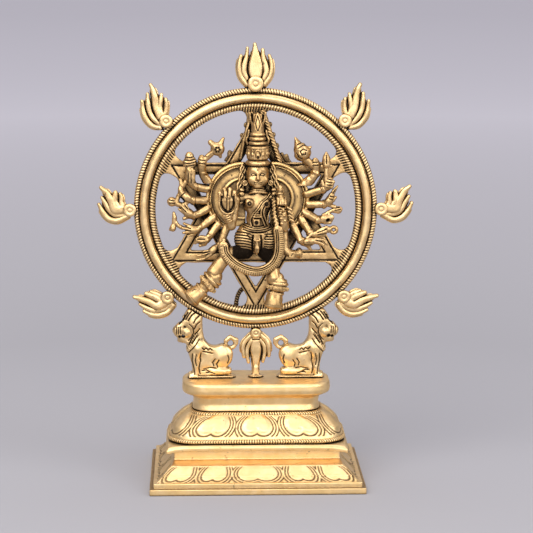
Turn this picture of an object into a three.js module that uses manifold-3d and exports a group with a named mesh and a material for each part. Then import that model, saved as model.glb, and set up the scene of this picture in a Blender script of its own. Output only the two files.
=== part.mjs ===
// A brass temple statue: a many-armed figure in a six-pointed star, held in a wheel of eight flames
// that two lions carry on a stepped lotus pedestal. Millimetres, +Z up, the front faces -Y.
// The origin is on the floor, under the centre of the wheel.
import * as THREE from "three";
import { mergeVertices } from "three/addons/utils/BufferGeometryUtils.js";
import Module from "manifold-3d";

const wasm = await Module();
wasm.setup();

// ---------------------------------------------------------------- driving dimensions

const GAP = 0.3; // solder line left between two neighbouring pieces
const BRASS = { color: 0xc9a05a, roughness: 0.32, metalness: 1 };

const HEIGHT = 240; // floor to the tip of the top flame
const FLOOR = 0;

// The pedestal, from the floor up. Half widths run along X and half depths along Y.
const PLINTH = {
  band: { halfWidth: 58.65, halfDepth: 44.3, top: 3.4 },
  step: { halfWidth: 56.6, halfDepth: 42.3, top: 6.1 },
  flareFoot: { halfWidth: 55, halfDepth: 40.8 },
  flareTop: { halfWidth: 46.6, halfDepth: 31.8, z: 13.4 },
  neck: { halfWidth: 45.6, halfDepth: 22.4, bottom: 14.2, top: 19.9 },
  hollow: { halfWidth: 49, halfDepth: 34.5, topHalfWidth: 42, topHalfDepth: 20, top: 11 },
};
const SLAB = { halfWidth: 50, halfDepth: 26.75, bottom: 20.2, top: 23.3, droop: 1.2 };
const LOTUS = {
  foot: { halfWidth: 47.4, halfDepth: 24.2, z: 23.6 },
  belly: { halfWidth: 46.2, halfDepth: 23.6, z: 31 },
  shoulder: { halfWidth: 40, halfDepth: 20, z: 36.8 },
  top: { halfWidth: 35.4, halfDepth: 16.2, z: 39.4 },
  corner: 13,
};
const LOWER_BEADS = { halfWidth: 49.2, halfDepth: 26, z: 24.8, wire: 1.1, corner: 15 };
const UPPER_BEADS = { halfWidth: 36.9, halfDepth: 17.6, z: 38.3, wire: 1.1, corner: 11 };
const WAIST = { halfWidth: 35.4, halfDepth: 16.2, neckIn: 0.7, bottom: 39.7, corner: 11 };
const SEAT = { halfWidth: 40.95, halfDepth: 19.1, bottom: 48.3, top: 55.7, corner: 13, edge: 0.8 };

// The wheel stands upright across X, on its own centre.
const WHEEL = {
  z: 149.8,
  rope: { inner: 55.4, outer: 66.6, halfDepth: 1.5 },
  band: { inner: 58.6, outer: 63.9, halfDepth: 3.6 },
  rivetCircle: 68.9,
};
const RIVET = { head: 3.6, topHead: 4.3, footHead: 2.9, stem: 1.3, hole: 1.45, tail: 2.4 };
const FLAME = { halfThickness: 1.5, tab: 3.2 };

// The star is two crossed triangles of flat strip.
const STAR = { z: 148, inradius: 27.6, strip: 6.7, halfThickness: 1.5, footHalfWidth: 4.8 };

const FIGURE_X = 0.9; // the figure sits a little to the right of the wheel's centre
const FIGURE_BACK = -1.8; // the figure's back, against the front of the star
const BODY_Y = -8; // depth of the trunk's centre line
const FAN = { x: 8.1, z: 156.5, radius: 20, front: -6.4, back: -3.6, hollowX: 0.9, hollow: 11.4 };
const ARM = { y: -5, handY: -7, stub: 1.9, wrist: 1.5, hand: 2.1, bangle: 2.4 };

const ANKLET = { groove: 4.3, upper: 5.6, lower: 5.8, space: 6.4 }; // radii

const LION = { seat: SEAT.top + GAP, halfDepth: 3.8 };

// ---------------------------------------------------------------- solids from three.js geometries

/** The closed solid that a three.js geometry bounds. */
function solid(geometry) {
  const plain = geometry.clone();
  plain.deleteAttribute("normal");
  plain.deleteAttribute("uv");
  const merged = mergeVertices(plain, 1e-4);
  const vertProperties = merged.attributes.position.array;
  const triVerts = new Uint32Array(merged.index.array);
  return new wasm.Manifold(new wasm.Mesh({ numProp: 3, vertProperties, triVerts }));
}

/** The three.js geometry of a solid. */
function skin(body) {
  const mesh = body.getMesh();
  const geometry = new THREE.BufferGeometry();
  geometry.setAttribute("position", new THREE.BufferAttribute(mesh.vertProperties, 3));
  geometry.setIndex(new THREE.BufferAttribute(mesh.triVerts, 1));
  const faceted = geometry.toNonIndexed();
  faceted.computeVertexNormals();
  return faceted;
}

function join(...bodies) {
  return bodies.reduce((whole, next) => whole.add(next));
}

function cut(body, ...tools) {
  return tools.reduce((left, tool) => left.subtract(tool), body);
}

/** A box between two corners. */
function block(low, high) {
  const size = high.map((value, axis) => value - low[axis]);
  const geometry = new THREE.BoxGeometry(...size);
  geometry.translate(...high.map((value, axis) => (value + low[axis]) / 2));
  return solid(geometry);
}

/** A round disc that faces the front, from depth y0 to y1. */
function disc(x, z, radius, y0, y1, sides = 20) {
  const geometry = new THREE.CylinderGeometry(radius, radius, y1 - y0, sides);
  geometry.translate(x, (y0 + y1) / 2, z);
  return solid(geometry);
}

function ball(centre, radii, around = 8, down = 5) {
  const geometry = new THREE.SphereGeometry(1, around, down);
  geometry.rotateX(Math.PI / 2);
  geometry.scale(...radii);
  geometry.translate(...centre);
  return solid(geometry);
}

/** A solid turned about the line between two points, from pairs of distance along it and radius. */
function bar(from, to, profile, sides) {
  const start = new THREE.Vector3(...from);
  const along = new THREE.Vector3(...to).sub(start).normalize();
  const points = profile.map(([distance, radius]) => new THREE.Vector2(radius, distance));
  const geometry = new THREE.LatheGeometry(points, sides);
  const turn = new THREE.Quaternion().setFromUnitVectors(new THREE.Vector3(0, 1, 0), along);
  geometry.applyQuaternion(turn);
  geometry.translate(...from);
  return solid(geometry);
}

function distance(from, to) {
  return new THREE.Vector3(...from).distanceTo(new THREE.Vector3(...to));
}

/** A round bar with pointed ends, tapering from one radius to the other. */
function limb(from, to, radius, endRadius = radius, sides = 6) {
  const length = distance(from, to);
  const profile = [
    [-0.7 * radius, 0],
    [0, radius],
    [length, endRadius],
    [length + 0.7 * endRadius, 0],
  ];
  return bar(from, to, profile, sides);
}

/** A ring of round wire about an axis. */
function hoop(centre, axis, radius, wire, around = 8, section = 4) {
  const geometry = new THREE.TorusGeometry(radius, wire, section, around);
  const direction = new THREE.Vector3(...axis).normalize();
  const turn = new THREE.Quaternion().setFromUnitVectors(new THREE.Vector3(0, 0, 1), direction);
  geometry.applyQuaternion(turn);
  geometry.translate(...centre);
  return solid(geometry);
}

/** A flat plate with its outline in X and Z, from depth y0 to y1. */
function plate(outline, y0, y1) {
  const shape = new THREE.Shape(outline.map(([x, z]) => new THREE.Vector2(x, z)));
  const options = { depth: y1 - y0, bevelEnabled: false };
  const geometry = new THREE.ExtrudeGeometry(shape, options);
  geometry.rotateX(Math.PI / 2);
  geometry.translate(0, y1, 0);
  return solid(geometry);
}

/** A flat tongue along a bent line, widest near its middle and pointed at its tip. */
function tongue([root, bend, tip], width, y0, y1, steps = 3) {
  const points = [root, bend, tip].map(([x, z]) => new THREE.Vector2(x, z));
  const line = new THREE.QuadraticBezierCurve(...points);
  const left = [];
  const right = [];
  for (let i = 0; i < steps; i++) {
    const t = i / steps;
    const half = 0.5 * width * (0.7 + 0.3 * Math.sin(Math.PI * t)) * (1 - 0.35 * t * t);
    const at = line.getPoint(t);
    const along = line.getTangent(t);
    left.push([at.x - along.y * half, at.y + along.x * half]);
    right.unshift([at.x + along.y * half, at.y - along.x * half]);
  }
  return plate([...left, tip, ...right], y0, y1);
}

/** A ring turned about the wheel's axis from a closed profile of radius and depth. */
function turned(profile, around = 48) {
  const closed = [...profile, profile[0]].map(([radius, depth]) => new THREE.Vector2(radius, depth));
  return solid(new THREE.LatheGeometry(closed, around));
}

/** The point of a rounded rectangle that an angle between two quadrant lines picks. */
function roundedPoint(angle, step, halfWidth, halfDepth, corner) {
  const quarter = Math.PI / 2;
  const quadrant = Math.floor(angle / quarter);
  const inside = (angle - quadrant * quarter - step / 2) / (quarter - step);
  const turn = (quadrant + inside) * quarter;
  const signX = quadrant === 0 || quadrant === 3 ? 1 : -1;
  const signY = quadrant < 2 ? 1 : -1;
  const x = signX * (halfWidth - corner) + corner * Math.cos(turn);
  const y = signY * (halfDepth - corner) + corner * Math.sin(turn);
  return [x, y];
}

/** A stack of rounded rectangles, each { halfWidth, halfDepth, z, corner }, joined into one solid. */
function tier(levels, perCorner = 6) {
  const sides = 4 * perCorner;
  const step = (2 * Math.PI) / sides;
  const rows = levels.length - 1;
  const geometry = new THREE.CylinderGeometry(1, 1, rows, sides, rows, false, step / 2);
  const place = geometry.attributes.position;
  for (let i = 0; i < place.count; i++) {
    const level = levels[Math.round(place.getY(i) + rows / 2)];
    const away = Math.hypot(place.getX(i), place.getZ(i));
    if (away < 0.5) {
      place.setXYZ(i, 0, 0, level.z);
      continue;
    }
    const angle = Math.atan2(place.getX(i), place.getZ(i));
    const positive = (angle + 2 * Math.PI) % (2 * Math.PI);
    const { halfWidth, halfDepth, corner } = level;
    const [x, y] = roundedPoint(positive, step, halfWidth, halfDepth, corner);
    place.setXYZ(i, x, y, level.z);
  }
  return solid(geometry);
}

/** A bead moulding that runs round a rounded rectangle. */
function beadRail({ halfWidth, halfDepth, z, wire, corner }, perCorner = 6) {
  const level = (grow, height) => ({
    halfWidth: halfWidth + grow,
    halfDepth: halfDepth + grow,
    corner: corner + grow,
    z: z + height,
  });
  const outside = [level(-0.4 * wire, -wire), level(0, 0), level(-0.4 * wire, wire)];
  const inside = [level(-2.2 * wire, -2 * wire), level(-2.2 * wire, 2 * wire)];
  return cut(tier(outside, perCorner), tier(inside, perCorner));
}

/** A block whose top rectangle differs from its bottom one. */
function frustum(bottom, top, z0, z1) {
  const geometry = new THREE.BoxGeometry(2, 2, 2);
  const place = geometry.attributes.position;
  for (let i = 0; i < place.count; i++) {
    const level = place.getZ(i) < 0 ? bottom : top;
    const x = place.getX(i) * level.halfWidth;
    const y = place.getY(i) * level.halfDepth;
    place.setXYZ(i, x, y, place.getZ(i) < 0 ? z0 : z1);
  }
  return solid(geometry);
}

// ---------------------------------------------------------------- scene graph

const statue = new THREE.Group();
const pedestal = new THREE.Group();
const wheel = new THREE.Group();
const figure = new THREE.Group();
wheel.position.z = WHEEL.z;
figure.position.x = FIGURE_X;
statue.add(pedestal, wheel, figure);

function place(group, name, body) {
  const mesh = new THREE.Mesh(skin(body), new THREE.MeshStandardMaterial(BRASS));
  mesh.name = name;
  group.add(mesh);
}

const SIDES = [
  ["left", -1],
  ["right", 1],
];

// ---------------------------------------------------------------- pedestal

function plinth() {
  const { band, step, flareFoot, flareTop, neck, hollow } = PLINTH;
  const floorBand = block(
    [-band.halfWidth, -band.halfDepth, FLOOR],
    [band.halfWidth, band.halfDepth, band.top],
  );
  const inset = block(
    [-step.halfWidth, -step.halfDepth, FLOOR],
    [step.halfWidth, step.halfDepth, step.top],
  );
  const flare = frustum(flareFoot, flareTop, step.top - 0.1, flareTop.z);
  const ledge = frustum(flareTop, neck, flareTop.z, neck.bottom);
  const wall = block(
    [-neck.halfWidth, -neck.halfDepth, neck.bottom - 0.1],
    [neck.halfWidth, neck.halfDepth, neck.top],
  );
  const roof = { halfWidth: hollow.topHalfWidth, halfDepth: hollow.topHalfDepth };
  const underside = frustum(hollow, roof, FLOOR - 1, hollow.top);
  return cut(join(floorBand, inset, flare, ledge, wall), underside);
}

/** The thin slab's corners droop below its middle. */
function slab() {
  const { halfWidth, halfDepth, bottom, top, droop } = SLAB;
  const level = PLINTH.neck.halfWidth + GAP;
  const arch = [
    [-halfWidth, bottom - droop],
    [-level, bottom],
    [level, bottom],
    [halfWidth, bottom - droop],
    [halfWidth, top - droop],
    [level, top],
    [-level, top],
    [-halfWidth, top - droop],
  ];
  return plate(arch, -halfDepth, halfDepth);
}

function lotusTier() {
  const { foot, belly, shoulder, top, corner } = LOTUS;
  const levels = [foot, belly, shoulder, top].map((level) => ({ ...level, corner }));
  const clearance = { ...LOWER_BEADS, wire: LOWER_BEADS.wire + GAP };
  const upperClearance = { ...UPPER_BEADS, wire: UPPER_BEADS.wire + GAP };
  return cut(tier(levels), beadRail(clearance), beadRail(upperClearance));
}

/** The waist and the broad seat above it, cast together. */
function seat() {
  const grown = (shape, grow, z) => ({
    halfWidth: shape.halfWidth + grow,
    halfDepth: shape.halfDepth + grow,
    corner: shape.corner + grow,
    z,
  });
  const { neckIn, bottom } = WAIST;
  const { edge, top } = SEAT;
  return tier([
    grown(WAIST, 0, bottom),
    grown(WAIST, -neckIn, (bottom + SEAT.bottom) / 2),
    grown(WAIST, 0.5, SEAT.bottom),
    grown(SEAT, -edge, SEAT.bottom + 0.1),
    grown(SEAT, 0, SEAT.bottom + edge),
    grown(SEAT, 0, top - edge),
    grown(SEAT, -edge, top),
  ]);
}

place(pedestal, "plinth", plinth());
place(pedestal, "plinth_slab", slab());
place(pedestal, "lotus_tier", lotusTier());
place(pedestal, "lower_bead_rail", beadRail(LOWER_BEADS));
place(pedestal, "upper_bead_rail", beadRail(UPPER_BEADS));
place(pedestal, "seat", seat());

// ---------------------------------------------------------------- lions

// The lion's outline from its hind foot over its back, mane and muzzle to its front foot: distance
// from the wheel's middle and height above the seat.
const LION_OUTLINE = [
  [13, 0],
  [13.8, 6],
  [12.4, 11],
  [14, 15],
  [19, 16.6],
  [24.5, 17.4],
  [28, 21],
  [29.4, 28],
  [28.8, 39],
  [36, 38.6],
  [40.4, 33.4],
  [44.8, 28.6],
  [44.4, 25.4],
  [41, 22.6],
  [38.2, 21.2],
  [38.4, 14],
  [36, 8],
  [36.8, 0],
];

/** A lion in relief that faces outwards and carries the wheel on its mane; side is -1 or 1. */
function lion(side) {
  const { seat: seatTop, halfDepth } = LION;
  const at = (x, up, y = 0) => [side * x, y, seatTop + up];
  const outline = LION_OUTLINE.map(([x, up]) => [side * x, seatTop + up]);
  const turnedRound = side > 0 ? outline.reverse() : outline;
  const body = plate(turnedRound, -0.75 * halfDepth, 0.75 * halfDepth);
  const foot = plate(
    [at(12.8, 0), at(12.8, 2.2), at(37, 2.2), at(37, 0)].map(([x, , z]) => [x, z]),
    -1.15 * halfDepth,
    1.15 * halfDepth,
  );
  const swells = [
    ball(at(18, 10), [5, halfDepth + 0.3, 6]),
    ball(at(32.4, 12.6), [5, halfDepth, 7.6]),
    ball(at(35.6, 29.4), [4.6, halfDepth + 0.3, 6]),
    limb(at(39, 28), at(43, 26.8), 2.8, 2.2),
  ];
  const tail = hoop(at(14.2, 19), [0, 1, 0], 3.5, 1.05, 8, 4);
  const wheelSpace = disc(0, WHEEL.z, WHEEL.rope.outer + GAP, -9, 9, 96);
  return cut(join(body, foot, ...swells, tail), wheelSpace);
}

for (const [word, side] of SIDES) place(pedestal, `lion_${word}`, lion(side));

// ---------------------------------------------------------------- wheel

function band() {
  const { inner, outer, halfDepth } = WHEEL.band;
  const middle = (inner + outer) / 2;
  const reach = (outer - inner) / 2;
  const section = [];
  const facets = 8;
  for (let i = 0; i < facets; i++) {
    const turn = (2 * Math.PI * i) / facets;
    section.push([middle + reach * Math.cos(turn), halfDepth * Math.sin(turn)]);
  }
  return turned(section);
}

/** A thin rope edge beside the band, from its root against the band to its rim. */
function ropeEdge(rim, root) {
  const { halfDepth } = WHEEL.rope;
  const section = [
    [rim, -0.6 * halfDepth],
    [root, -halfDepth],
    [root, halfDepth],
    [rim, 0.6 * halfDepth],
  ];
  return turned(rim > root ? section.reverse() : section);
}

place(wheel, "wheel_band", band());
place(wheel, "outer_rope_edge", ropeEdge(WHEEL.rope.outer, WHEEL.band.outer + GAP));
place(wheel, "inner_rope_edge", ropeEdge(WHEEL.rope.inner, WHEEL.band.inner - GAP));

// A flame is five tongues that spring from a tab behind its rivet. Each tongue is its root, its bend
// and its tip, measured from the rivet, and its width. All are drawn as on the left half.
const FLAMES = {
  top: [
    [[0, 2], [0, 10], [0, HEIGHT - WHEEL.z - WHEEL.rivetCircle], 6.4],
    [[-1.5, 0], [-6.2, 7], [-3.2, 18.4], 3.2],
    [[1.5, 0], [6.2, 7], [3.8, 17.4], 3.2],
    [[-2, -1], [-11.5, 3.5], [-7.6, 14.4], 3],
    [[2, -1], [11.5, 3.5], [7.7, 14.4], 3],
  ],
  upper: [
    [[-1, -2], [-14, -3.6], [-13.6, 11.8], 3.4],
    [[-1, -1], [-12, 0], [-11, 16.6], 3.4],
    [[0, 0], [-8.6, 3], [-8.2, 20.4], 3.6],
    [[0, 1], [-5, 5], [-4.2, 16.6], 3.2],
    [[0.5, 2], [-1.5, 5], [-1.2, 13], 2.6],
  ],
  side: [
    [[0, -2], [-16, -10.5], [-17.1, 4], 3.4],
    [[0, -1.5], [-14, -7], [-15, 12], 3.4],
    [[-1, -1], [-10, -4], [-12, 10.2], 3.2],
    [[-1, 0], [-7.5, -2], [-8.7, 10.3], 3],
    [[-1, 1], [-5, 0.5], [-4.8, 8.2], 2.8],
  ],
  lower: [
    [[2, -3.6], [-1, -13.6], [-15.7, -7.2], 3.4],
    [[1, -2.6], [-2, -10.6], [-16.7, -3.6], 3.4],
    [[0, -2], [-4, -6.6], [-18.8, 0], 3.4],
    [[0, -1], [-4, -3.6], [-13.1, 2.4], 3],
    [[0, 0], [-3, -1], [-8, 3.4], 2.6],
  ],
  foot: [
    [[-1.2, -2], [-8.6, -3], [-7.4, -13.4], 3],
    [[1.2, -2], [8.6, -3], [7.4, -13.4], 3],
    [[-1, -2], [-5.4, -8], [-4, -17], 2.8],
    [[1, -2], [5.4, -8], [4, -17], 2.8],
  ],
};

/** Five tongues on a pierced tab, cut back to the wheel's rim. */
function flame(tongues, rivetX, rivetZ, mirror) {
  const { halfThickness, tab } = FLAME;
  const pieces = tongues.map(([root, bend, tip, width], i) => {
    const line = [root, bend, tip].map(([x, z]) => [rivetX + mirror * x, rivetZ + z]);
    const half = i % 2 ? halfThickness - 0.35 : halfThickness;
    return tongue(line, width, -half, half);
  });
  const root = disc(rivetX, rivetZ, tab, -halfThickness, halfThickness, 10);
  const hole = disc(rivetX, rivetZ, RIVET.hole, -9, 9, 10);
  const rim = disc(0, 0, WHEEL.rope.outer + GAP, -9, 9, 128);
  return cut(join(root, ...pieces), rim, hole);
}

/** A headed rivet through the flame's tab, peened over at the back. */
function rivet(x, z, headRadius) {
  const { stem, tail } = RIVET;
  const front = FLAME.halfThickness + GAP;
  const profile = [
    [0, -front - 1.5],
    [headRadius, -front - 1.2],
    [headRadius, -front],
    [stem, -front],
    [stem, front],
    [tail, front],
    [0, front + 0.9],
  ];
  const points = profile.map(([radius, depth]) => new THREE.Vector2(radius, depth));
  const geometry = new THREE.LatheGeometry(points, 10);
  geometry.translate(x, 0, z);
  return solid(geometry);
}

/** The lowest flame hangs and ends in a foot that stands on the seat. */
function footFlame(rivetX, rivetZ) {
  const seatTop = SEAT.top + GAP - WHEEL.z;
  const post = [
    [-2, rivetZ],
    [-2.6, rivetZ - 5],
    [-1.5, rivetZ - 17],
    [-1.3, seatTop + 4],
    [-2.6, seatTop],
    [2.6, seatTop],
    [1.3, seatTop + 4],
    [1.5, rivetZ - 17],
    [2.6, rivetZ - 5],
    [2, rivetZ],
  ];
  const hanging = flame(FLAMES.foot, rivetX, rivetZ, 1);
  const hole = disc(rivetX, rivetZ, RIVET.hole, -9, 9, 10);
  return cut(join(hanging, plate(post, -FLAME.halfThickness, FLAME.halfThickness)), hole);
}

const RAYS = [
  ["top", 90, "top"],
  ["upper_left", 135, "upper"],
  ["left", 180, "side"],
  ["lower_left", 225, "lower"],
  ["lower_right", 315, "lower"],
  ["right", 0, "side"],
  ["upper_right", 45, "upper"],
];
for (const [word, degrees, kind] of RAYS) {
  const turn = THREE.MathUtils.degToRad(degrees);
  const x = WHEEL.rivetCircle * Math.cos(turn);
  const z = WHEEL.rivetCircle * Math.sin(turn);
  const mirror = word.endsWith("right") ? -1 : 1;
  const headRadius = kind === "top" ? RIVET.topHead : RIVET.head;
  place(wheel, `flame_${word}`, flame(FLAMES[kind], x, z, mirror));
  place(wheel, `rivet_${word}`, rivet(x, z, headRadius));
}
place(wheel, "flame_foot", footFlame(0, -WHEEL.rivetCircle));
place(wheel, "rivet_foot", rivet(0, -WHEEL.rivetCircle, RIVET.footHead));

// ---------------------------------------------------------------- star and back frame

/** Two crossed triangles of flat strip with square feet that meet the wheel's rope edge. */
function star() {
  const { inradius, strip, halfThickness, footHalfWidth } = STAR;
  const lift = STAR.z - WHEEL.z;
  const corners = (radius, start) => {
    const points = [];
    for (let i = 0; i < 3; i++) {
      const turn = THREE.MathUtils.degToRad(start + 120 * i);
      points.push([radius * Math.cos(turn), lift + radius * Math.sin(turn)]);
    }
    return points;
  };
  const triangles = [90, 270].map((start) => {
    const outer = plate(corners(2 * inradius, start), -halfThickness, halfThickness);
    const inner = plate(corners(2 * (inradius - strip), start), -9, 9);
    return cut(outer, inner);
  });
  const feet = [];
  for (let i = 0; i < 6; i++) {
    const geometry = new THREE.BoxGeometry(2 * footHalfWidth, 2 * halfThickness, 13);
    geometry.translate(0, 0, 2 * inradius - 7);
    geometry.rotateY((i * Math.PI) / 3);
    geometry.translate(0, 0, lift);
    feet.push(solid(geometry));
  }
  const rim = disc(0, 0, WHEEL.rope.inner - GAP, -9, 9, 96);
  return join(...triangles, ...feet).intersect(rim);
}

/** A pointed arch of flat strip against the star's back, seen past both sides of the crown. */
function backArch() {
  const y0 = STAR.halfThickness + GAP;
  const y1 = y0 + 2.6;
  const outer = [
    [-14.4, 25],
    [-9.4, 31],
    [-5, 46],
    [-1.6, 53.2],
    [3.4, 53.2],
    [6.8, 46],
    [11.2, 31],
    [18.6, 25],
  ];
  const inner = [
    [-8.6, 24],
    [-6.4, 31],
    [-2, 44],
    [0.9, 49],
    [3.8, 44],
    [8.2, 31],
    [12.6, 24],
  ];
  return cut(plate(outer, y0, y1), plate(inner, y0 - 1, y1 + 1));
}

/** A bent strut behind the foot of the star. */
function backStrut() {
  const y = STAR.halfThickness + GAP + 1.4;
  const bends = [
    [-5, y, -44],
    [-8.4, y, -46.4],
    [-10, y, -50.6],
    [-10.2, y, -53.4],
  ];
  const bars = bends.slice(1).map((end, i) => limb(bends[i], end, 1.2, 1.1, 6));
  const rim = disc(0, 0, WHEEL.rope.inner - GAP, -9, 9, 96);
  return join(...bars).intersect(rim);
}

place(wheel, "star_frame", star());
place(wheel, "back_arch", backArch());
place(wheel, "back_strut", backStrut());

// ---------------------------------------------------------------- figure: trunk and head

const NECK = 162.5;
const CROWN_LOW = 175.2;
const BELT = 141.6;
const HEM = 127.4;

/** The space above or below a height, less half a gap towards the other. */
function above(z) {
  return block([-30, -30, z - GAP / 2], [30, 30, z + 60]);
}

function below(z) {
  return block([-30, -30, z - 60], [30, 30, z + GAP / 2]);
}

const BEHIND = block([-40, FIGURE_BACK, 90], [40, 20, 215]);

function torso() {
  const chest = ball([0, BODY_Y, 153], [9, 5.2, 7], 10, 7);
  const waistline = ball([0, BODY_Y, 144.5], [7, 4.6, 6], 10, 6);
  const shoulders = limb([-7.6, BODY_Y, 157], [7.6, BODY_Y, 157], 3.1);
  const neck = limb([0, BODY_Y, 157], [0, BODY_Y, 162], 3, 2.8, 10);
  const collar = hoop([0, BODY_Y - 0.6, 159.4], [0, 0.25, 1], 3.7, 0.8);
  const scarf = limb([6.4, BODY_Y - 4.4, 157.4], [-3.4, BODY_Y - 4.6, 146], 1.3, 1, 6);
  const clasp = block([-1.6, BODY_Y - 5.6, 142.6], [1.6, BODY_Y - 4, 145.6]);
  const whole = join(chest, waistline, shoulders, neck, collar, scarf, clasp);
  return cut(whole, BEHIND, below(BELT), above(NECK));
}

function head() {
  const skull = ball([0, BODY_Y - 0.6, 170.1], [6, 6.1, 7.3], 12, 8);
  const nose = limb([0, BODY_Y - 6.4, 171], [0, BODY_Y - 7, 168.8], 0.7, 0.9, 6);
  const ornaments = SIDES.flatMap(([, side]) => [
    limb([side * 5.6, BODY_Y, 172], [side * 7, BODY_Y, 166], 1.3, 1.6),
    limb([side * 7.6, BODY_Y, 168], [side * 8.8, BODY_Y, 161.6], 1.3, 0.9),
  ]);
  return cut(join(skull, nose, ...ornaments), BEHIND, above(CROWN_LOW));
}

/** The tall crown: a head band, a relief drum, three rings and a pointed cone. */
function crown() {
  const profile = [
    [0, CROWN_LOW + GAP],
    [6.3, CROWN_LOW + GAP],
    [6.3, 178],
    [5.6, 178.6],
    [5.8, 185],
    [4, 185.6],
    [4.7, 187],
    [4, 188.2],
    [4.6, 189.4],
    [3.8, 190.4],
    [4.1, 191.6],
    [3.2, 192.8],
    [2.7, 197],
    [1.2, 202.4],
    [0, 203.2],
  ];
  const points = profile.map(([radius, z]) => new THREE.Vector2(radius, z));
  const geometry = new THREE.LatheGeometry(points, 12);
  geometry.rotateX(Math.PI / 2);
  geometry.translate(0, BODY_Y, 0);
  const web = block([-2.2, BODY_Y, CROWN_LOW + 1], [2.2, FIGURE_BACK, 200]);
  return cut(join(solid(geometry), web), BEHIND);
}

function skirt() {
  const hips = ball([0, BODY_Y - 0.4, 135.4], [12, 4.9, 9], 12, 7);
  const beltShape = new THREE.TorusGeometry(1, 0.12, 4, 12);
  beltShape.scale(8, 4.6, 10);
  beltShape.translate(0, BODY_Y, 139.4);
  const belt = solid(beltShape);
  const pleats = SIDES.flatMap(([, side]) =>
    [135, 131.6].map((z) => limb([side * 3, BODY_Y - 4.4, z + 1], [side * 11, BODY_Y - 3, z - 1], 0.8)),
  );
  const tassel = limb([0, BODY_Y - 4.9, 137], [0, BODY_Y - 4.9, 129], 1, 1.3, 6);
  const whole = join(hips, belt, ...pleats, tassel);
  return cut(whole, BEHIND, above(BELT), below(HEM));
}

/** The sash hangs in a deep loop from hip to hip, in front of the skirt. */
function sash() {
  const route = [
    [-17, 131],
    [-15.4, 126.4],
    [-11, 121.8],
    [-5, 118.8],
    [0.6, 117.7],
    [6.4, 119.4],
    [11, 123.6],
    [13.6, 130],
    [14, 140],
  ].map(([x, z]) => new THREE.Vector2(x, z));
  const line = new THREE.SplineCurve(route);
  const outer = [];
  const inner = [];
  const steps = 18;
  for (let i = 0; i <= steps; i++) {
    const at = line.getPoint(i / steps);
    const along = line.getTangent(i / steps);
    outer.push([at.x + 2.4 * along.y, at.y - 2.4 * along.x]);
    inner.unshift([at.x - 2.4 * along.y, at.y + 2.4 * along.x]);
  }
  return plate([...outer, ...inner], -16, -13.8);
}

place(figure, "torso", torso());
place(figure, "head", head());
place(figure, "crown", crown());
place(figure, "skirt", skirt());
place(figure, "sash", sash());

// ---------------------------------------------------------------- figure: legs

// The left leg is lifted across the star and the right one stands on the wheel's inner rope edge.
const LEGS = {
  left: {
    hip: [-6, -8, 124.4],
    knee: [-14.6, -10.4, 123.4],
    ankle: [-24.4, -10.4, 116.6],
    heel: [-27.6, -10.4, 109.6],
    toe: [-31.4, -11.4, 106.2],
  },
  right: {
    hip: [4.4, -8, 124.4],
    knee: [9.2, -10.4, 120.6],
    ankle: [8.6, -10.4, 113.6],
    heel: [10, -10.4, 104],
    toe: [9.4, -11.6, 99.4],
  },
};

function middle(a, b, share) {
  return a.map((value, axis) => value + share * (b[axis] - value));
}

/** Thigh and shin, stopping short of the anklet. */
function leg({ hip, knee, ankle }) {
  const clear = block([-40, -13.5, HEM - GAP], [40, FIGURE_BACK, 160]);
  return cut(join(limb(hip, knee, 3, 3), limb(knee, ankle, 2.9, 2.4)), clear, BEHIND);
}

/** Two stacked bands between the shin and the foot. */
function anklet({ ankle, heel }) {
  const length = distance(ankle, heel);
  const profile = [
    [0.2 * length, 0],
    [0.2 * length, ANKLET.groove],
    [0.34 * length, ANKLET.upper],
    [0.5 * length, ANKLET.groove],
    [0.6 * length, ANKLET.groove],
    [0.74 * length, ANKLET.lower],
    [0.88 * length, ANKLET.groove],
    [0.88 * length, 0],
  ];
  return bar(ankle, heel, profile, 10);
}

function foot({ heel, toe }) {
  return join(limb(heel, toe, 2.6, 3.2, 8), ball(toe, [4, 3.4, 2.2]));
}

/** The space of an anklet and the gap round it. */
function ankletSpace({ ankle, heel }) {
  const length = distance(ankle, heel);
  const profile = [
    [0.2 * length - GAP, 0],
    [0.2 * length - GAP, ANKLET.space],
    [0.88 * length + GAP, ANKLET.space],
    [0.88 * length + GAP, 0],
  ];
  return bar(ankle, heel, profile, 10);
}

for (const [word] of SIDES) {
  const joints = LEGS[word];
  const keepOut = ankletSpace(joints);
  place(figure, `leg_${word}`, cut(leg(joints), keepOut));
  place(figure, `anklet_${word}`, anklet(joints));
  place(figure, `foot_${word}`, cut(foot(joints), keepOut));
}

// ---------------------------------------------------------------- figure: shoulder fans and arms

/** A crescent plate with a raised rim, from which the rear arms spring. */
function fan(side) {
  const { x, z, radius, front, back, hollowX, hollow } = FAN;
  const sheet = disc(side * x, z, radius, front, back, 36);
  const rim = cut(
    disc(side * x, z, radius, front - 1, back, 36),
    disc(side * x, z, radius - 1.8, front - 2, back + 1, 36),
  );
  const trunkSpace = disc(-side * hollowX, z - 2, hollow, -20, 5, 24);
  const reach = side * 8.4;
  const farSide = block([Math.min(reach, -30 * side), -20, 120], [Math.max(reach, -30 * side), 5, 190]);
  const low = block([-30, -20, 120], [30, 5, 142]);
  return cut(join(sheet, rim), trunkSpace, farSide, low);
}

for (const [word, side] of SIDES) place(figure, `shoulder_fan_${word}`, fan(side));

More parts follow.
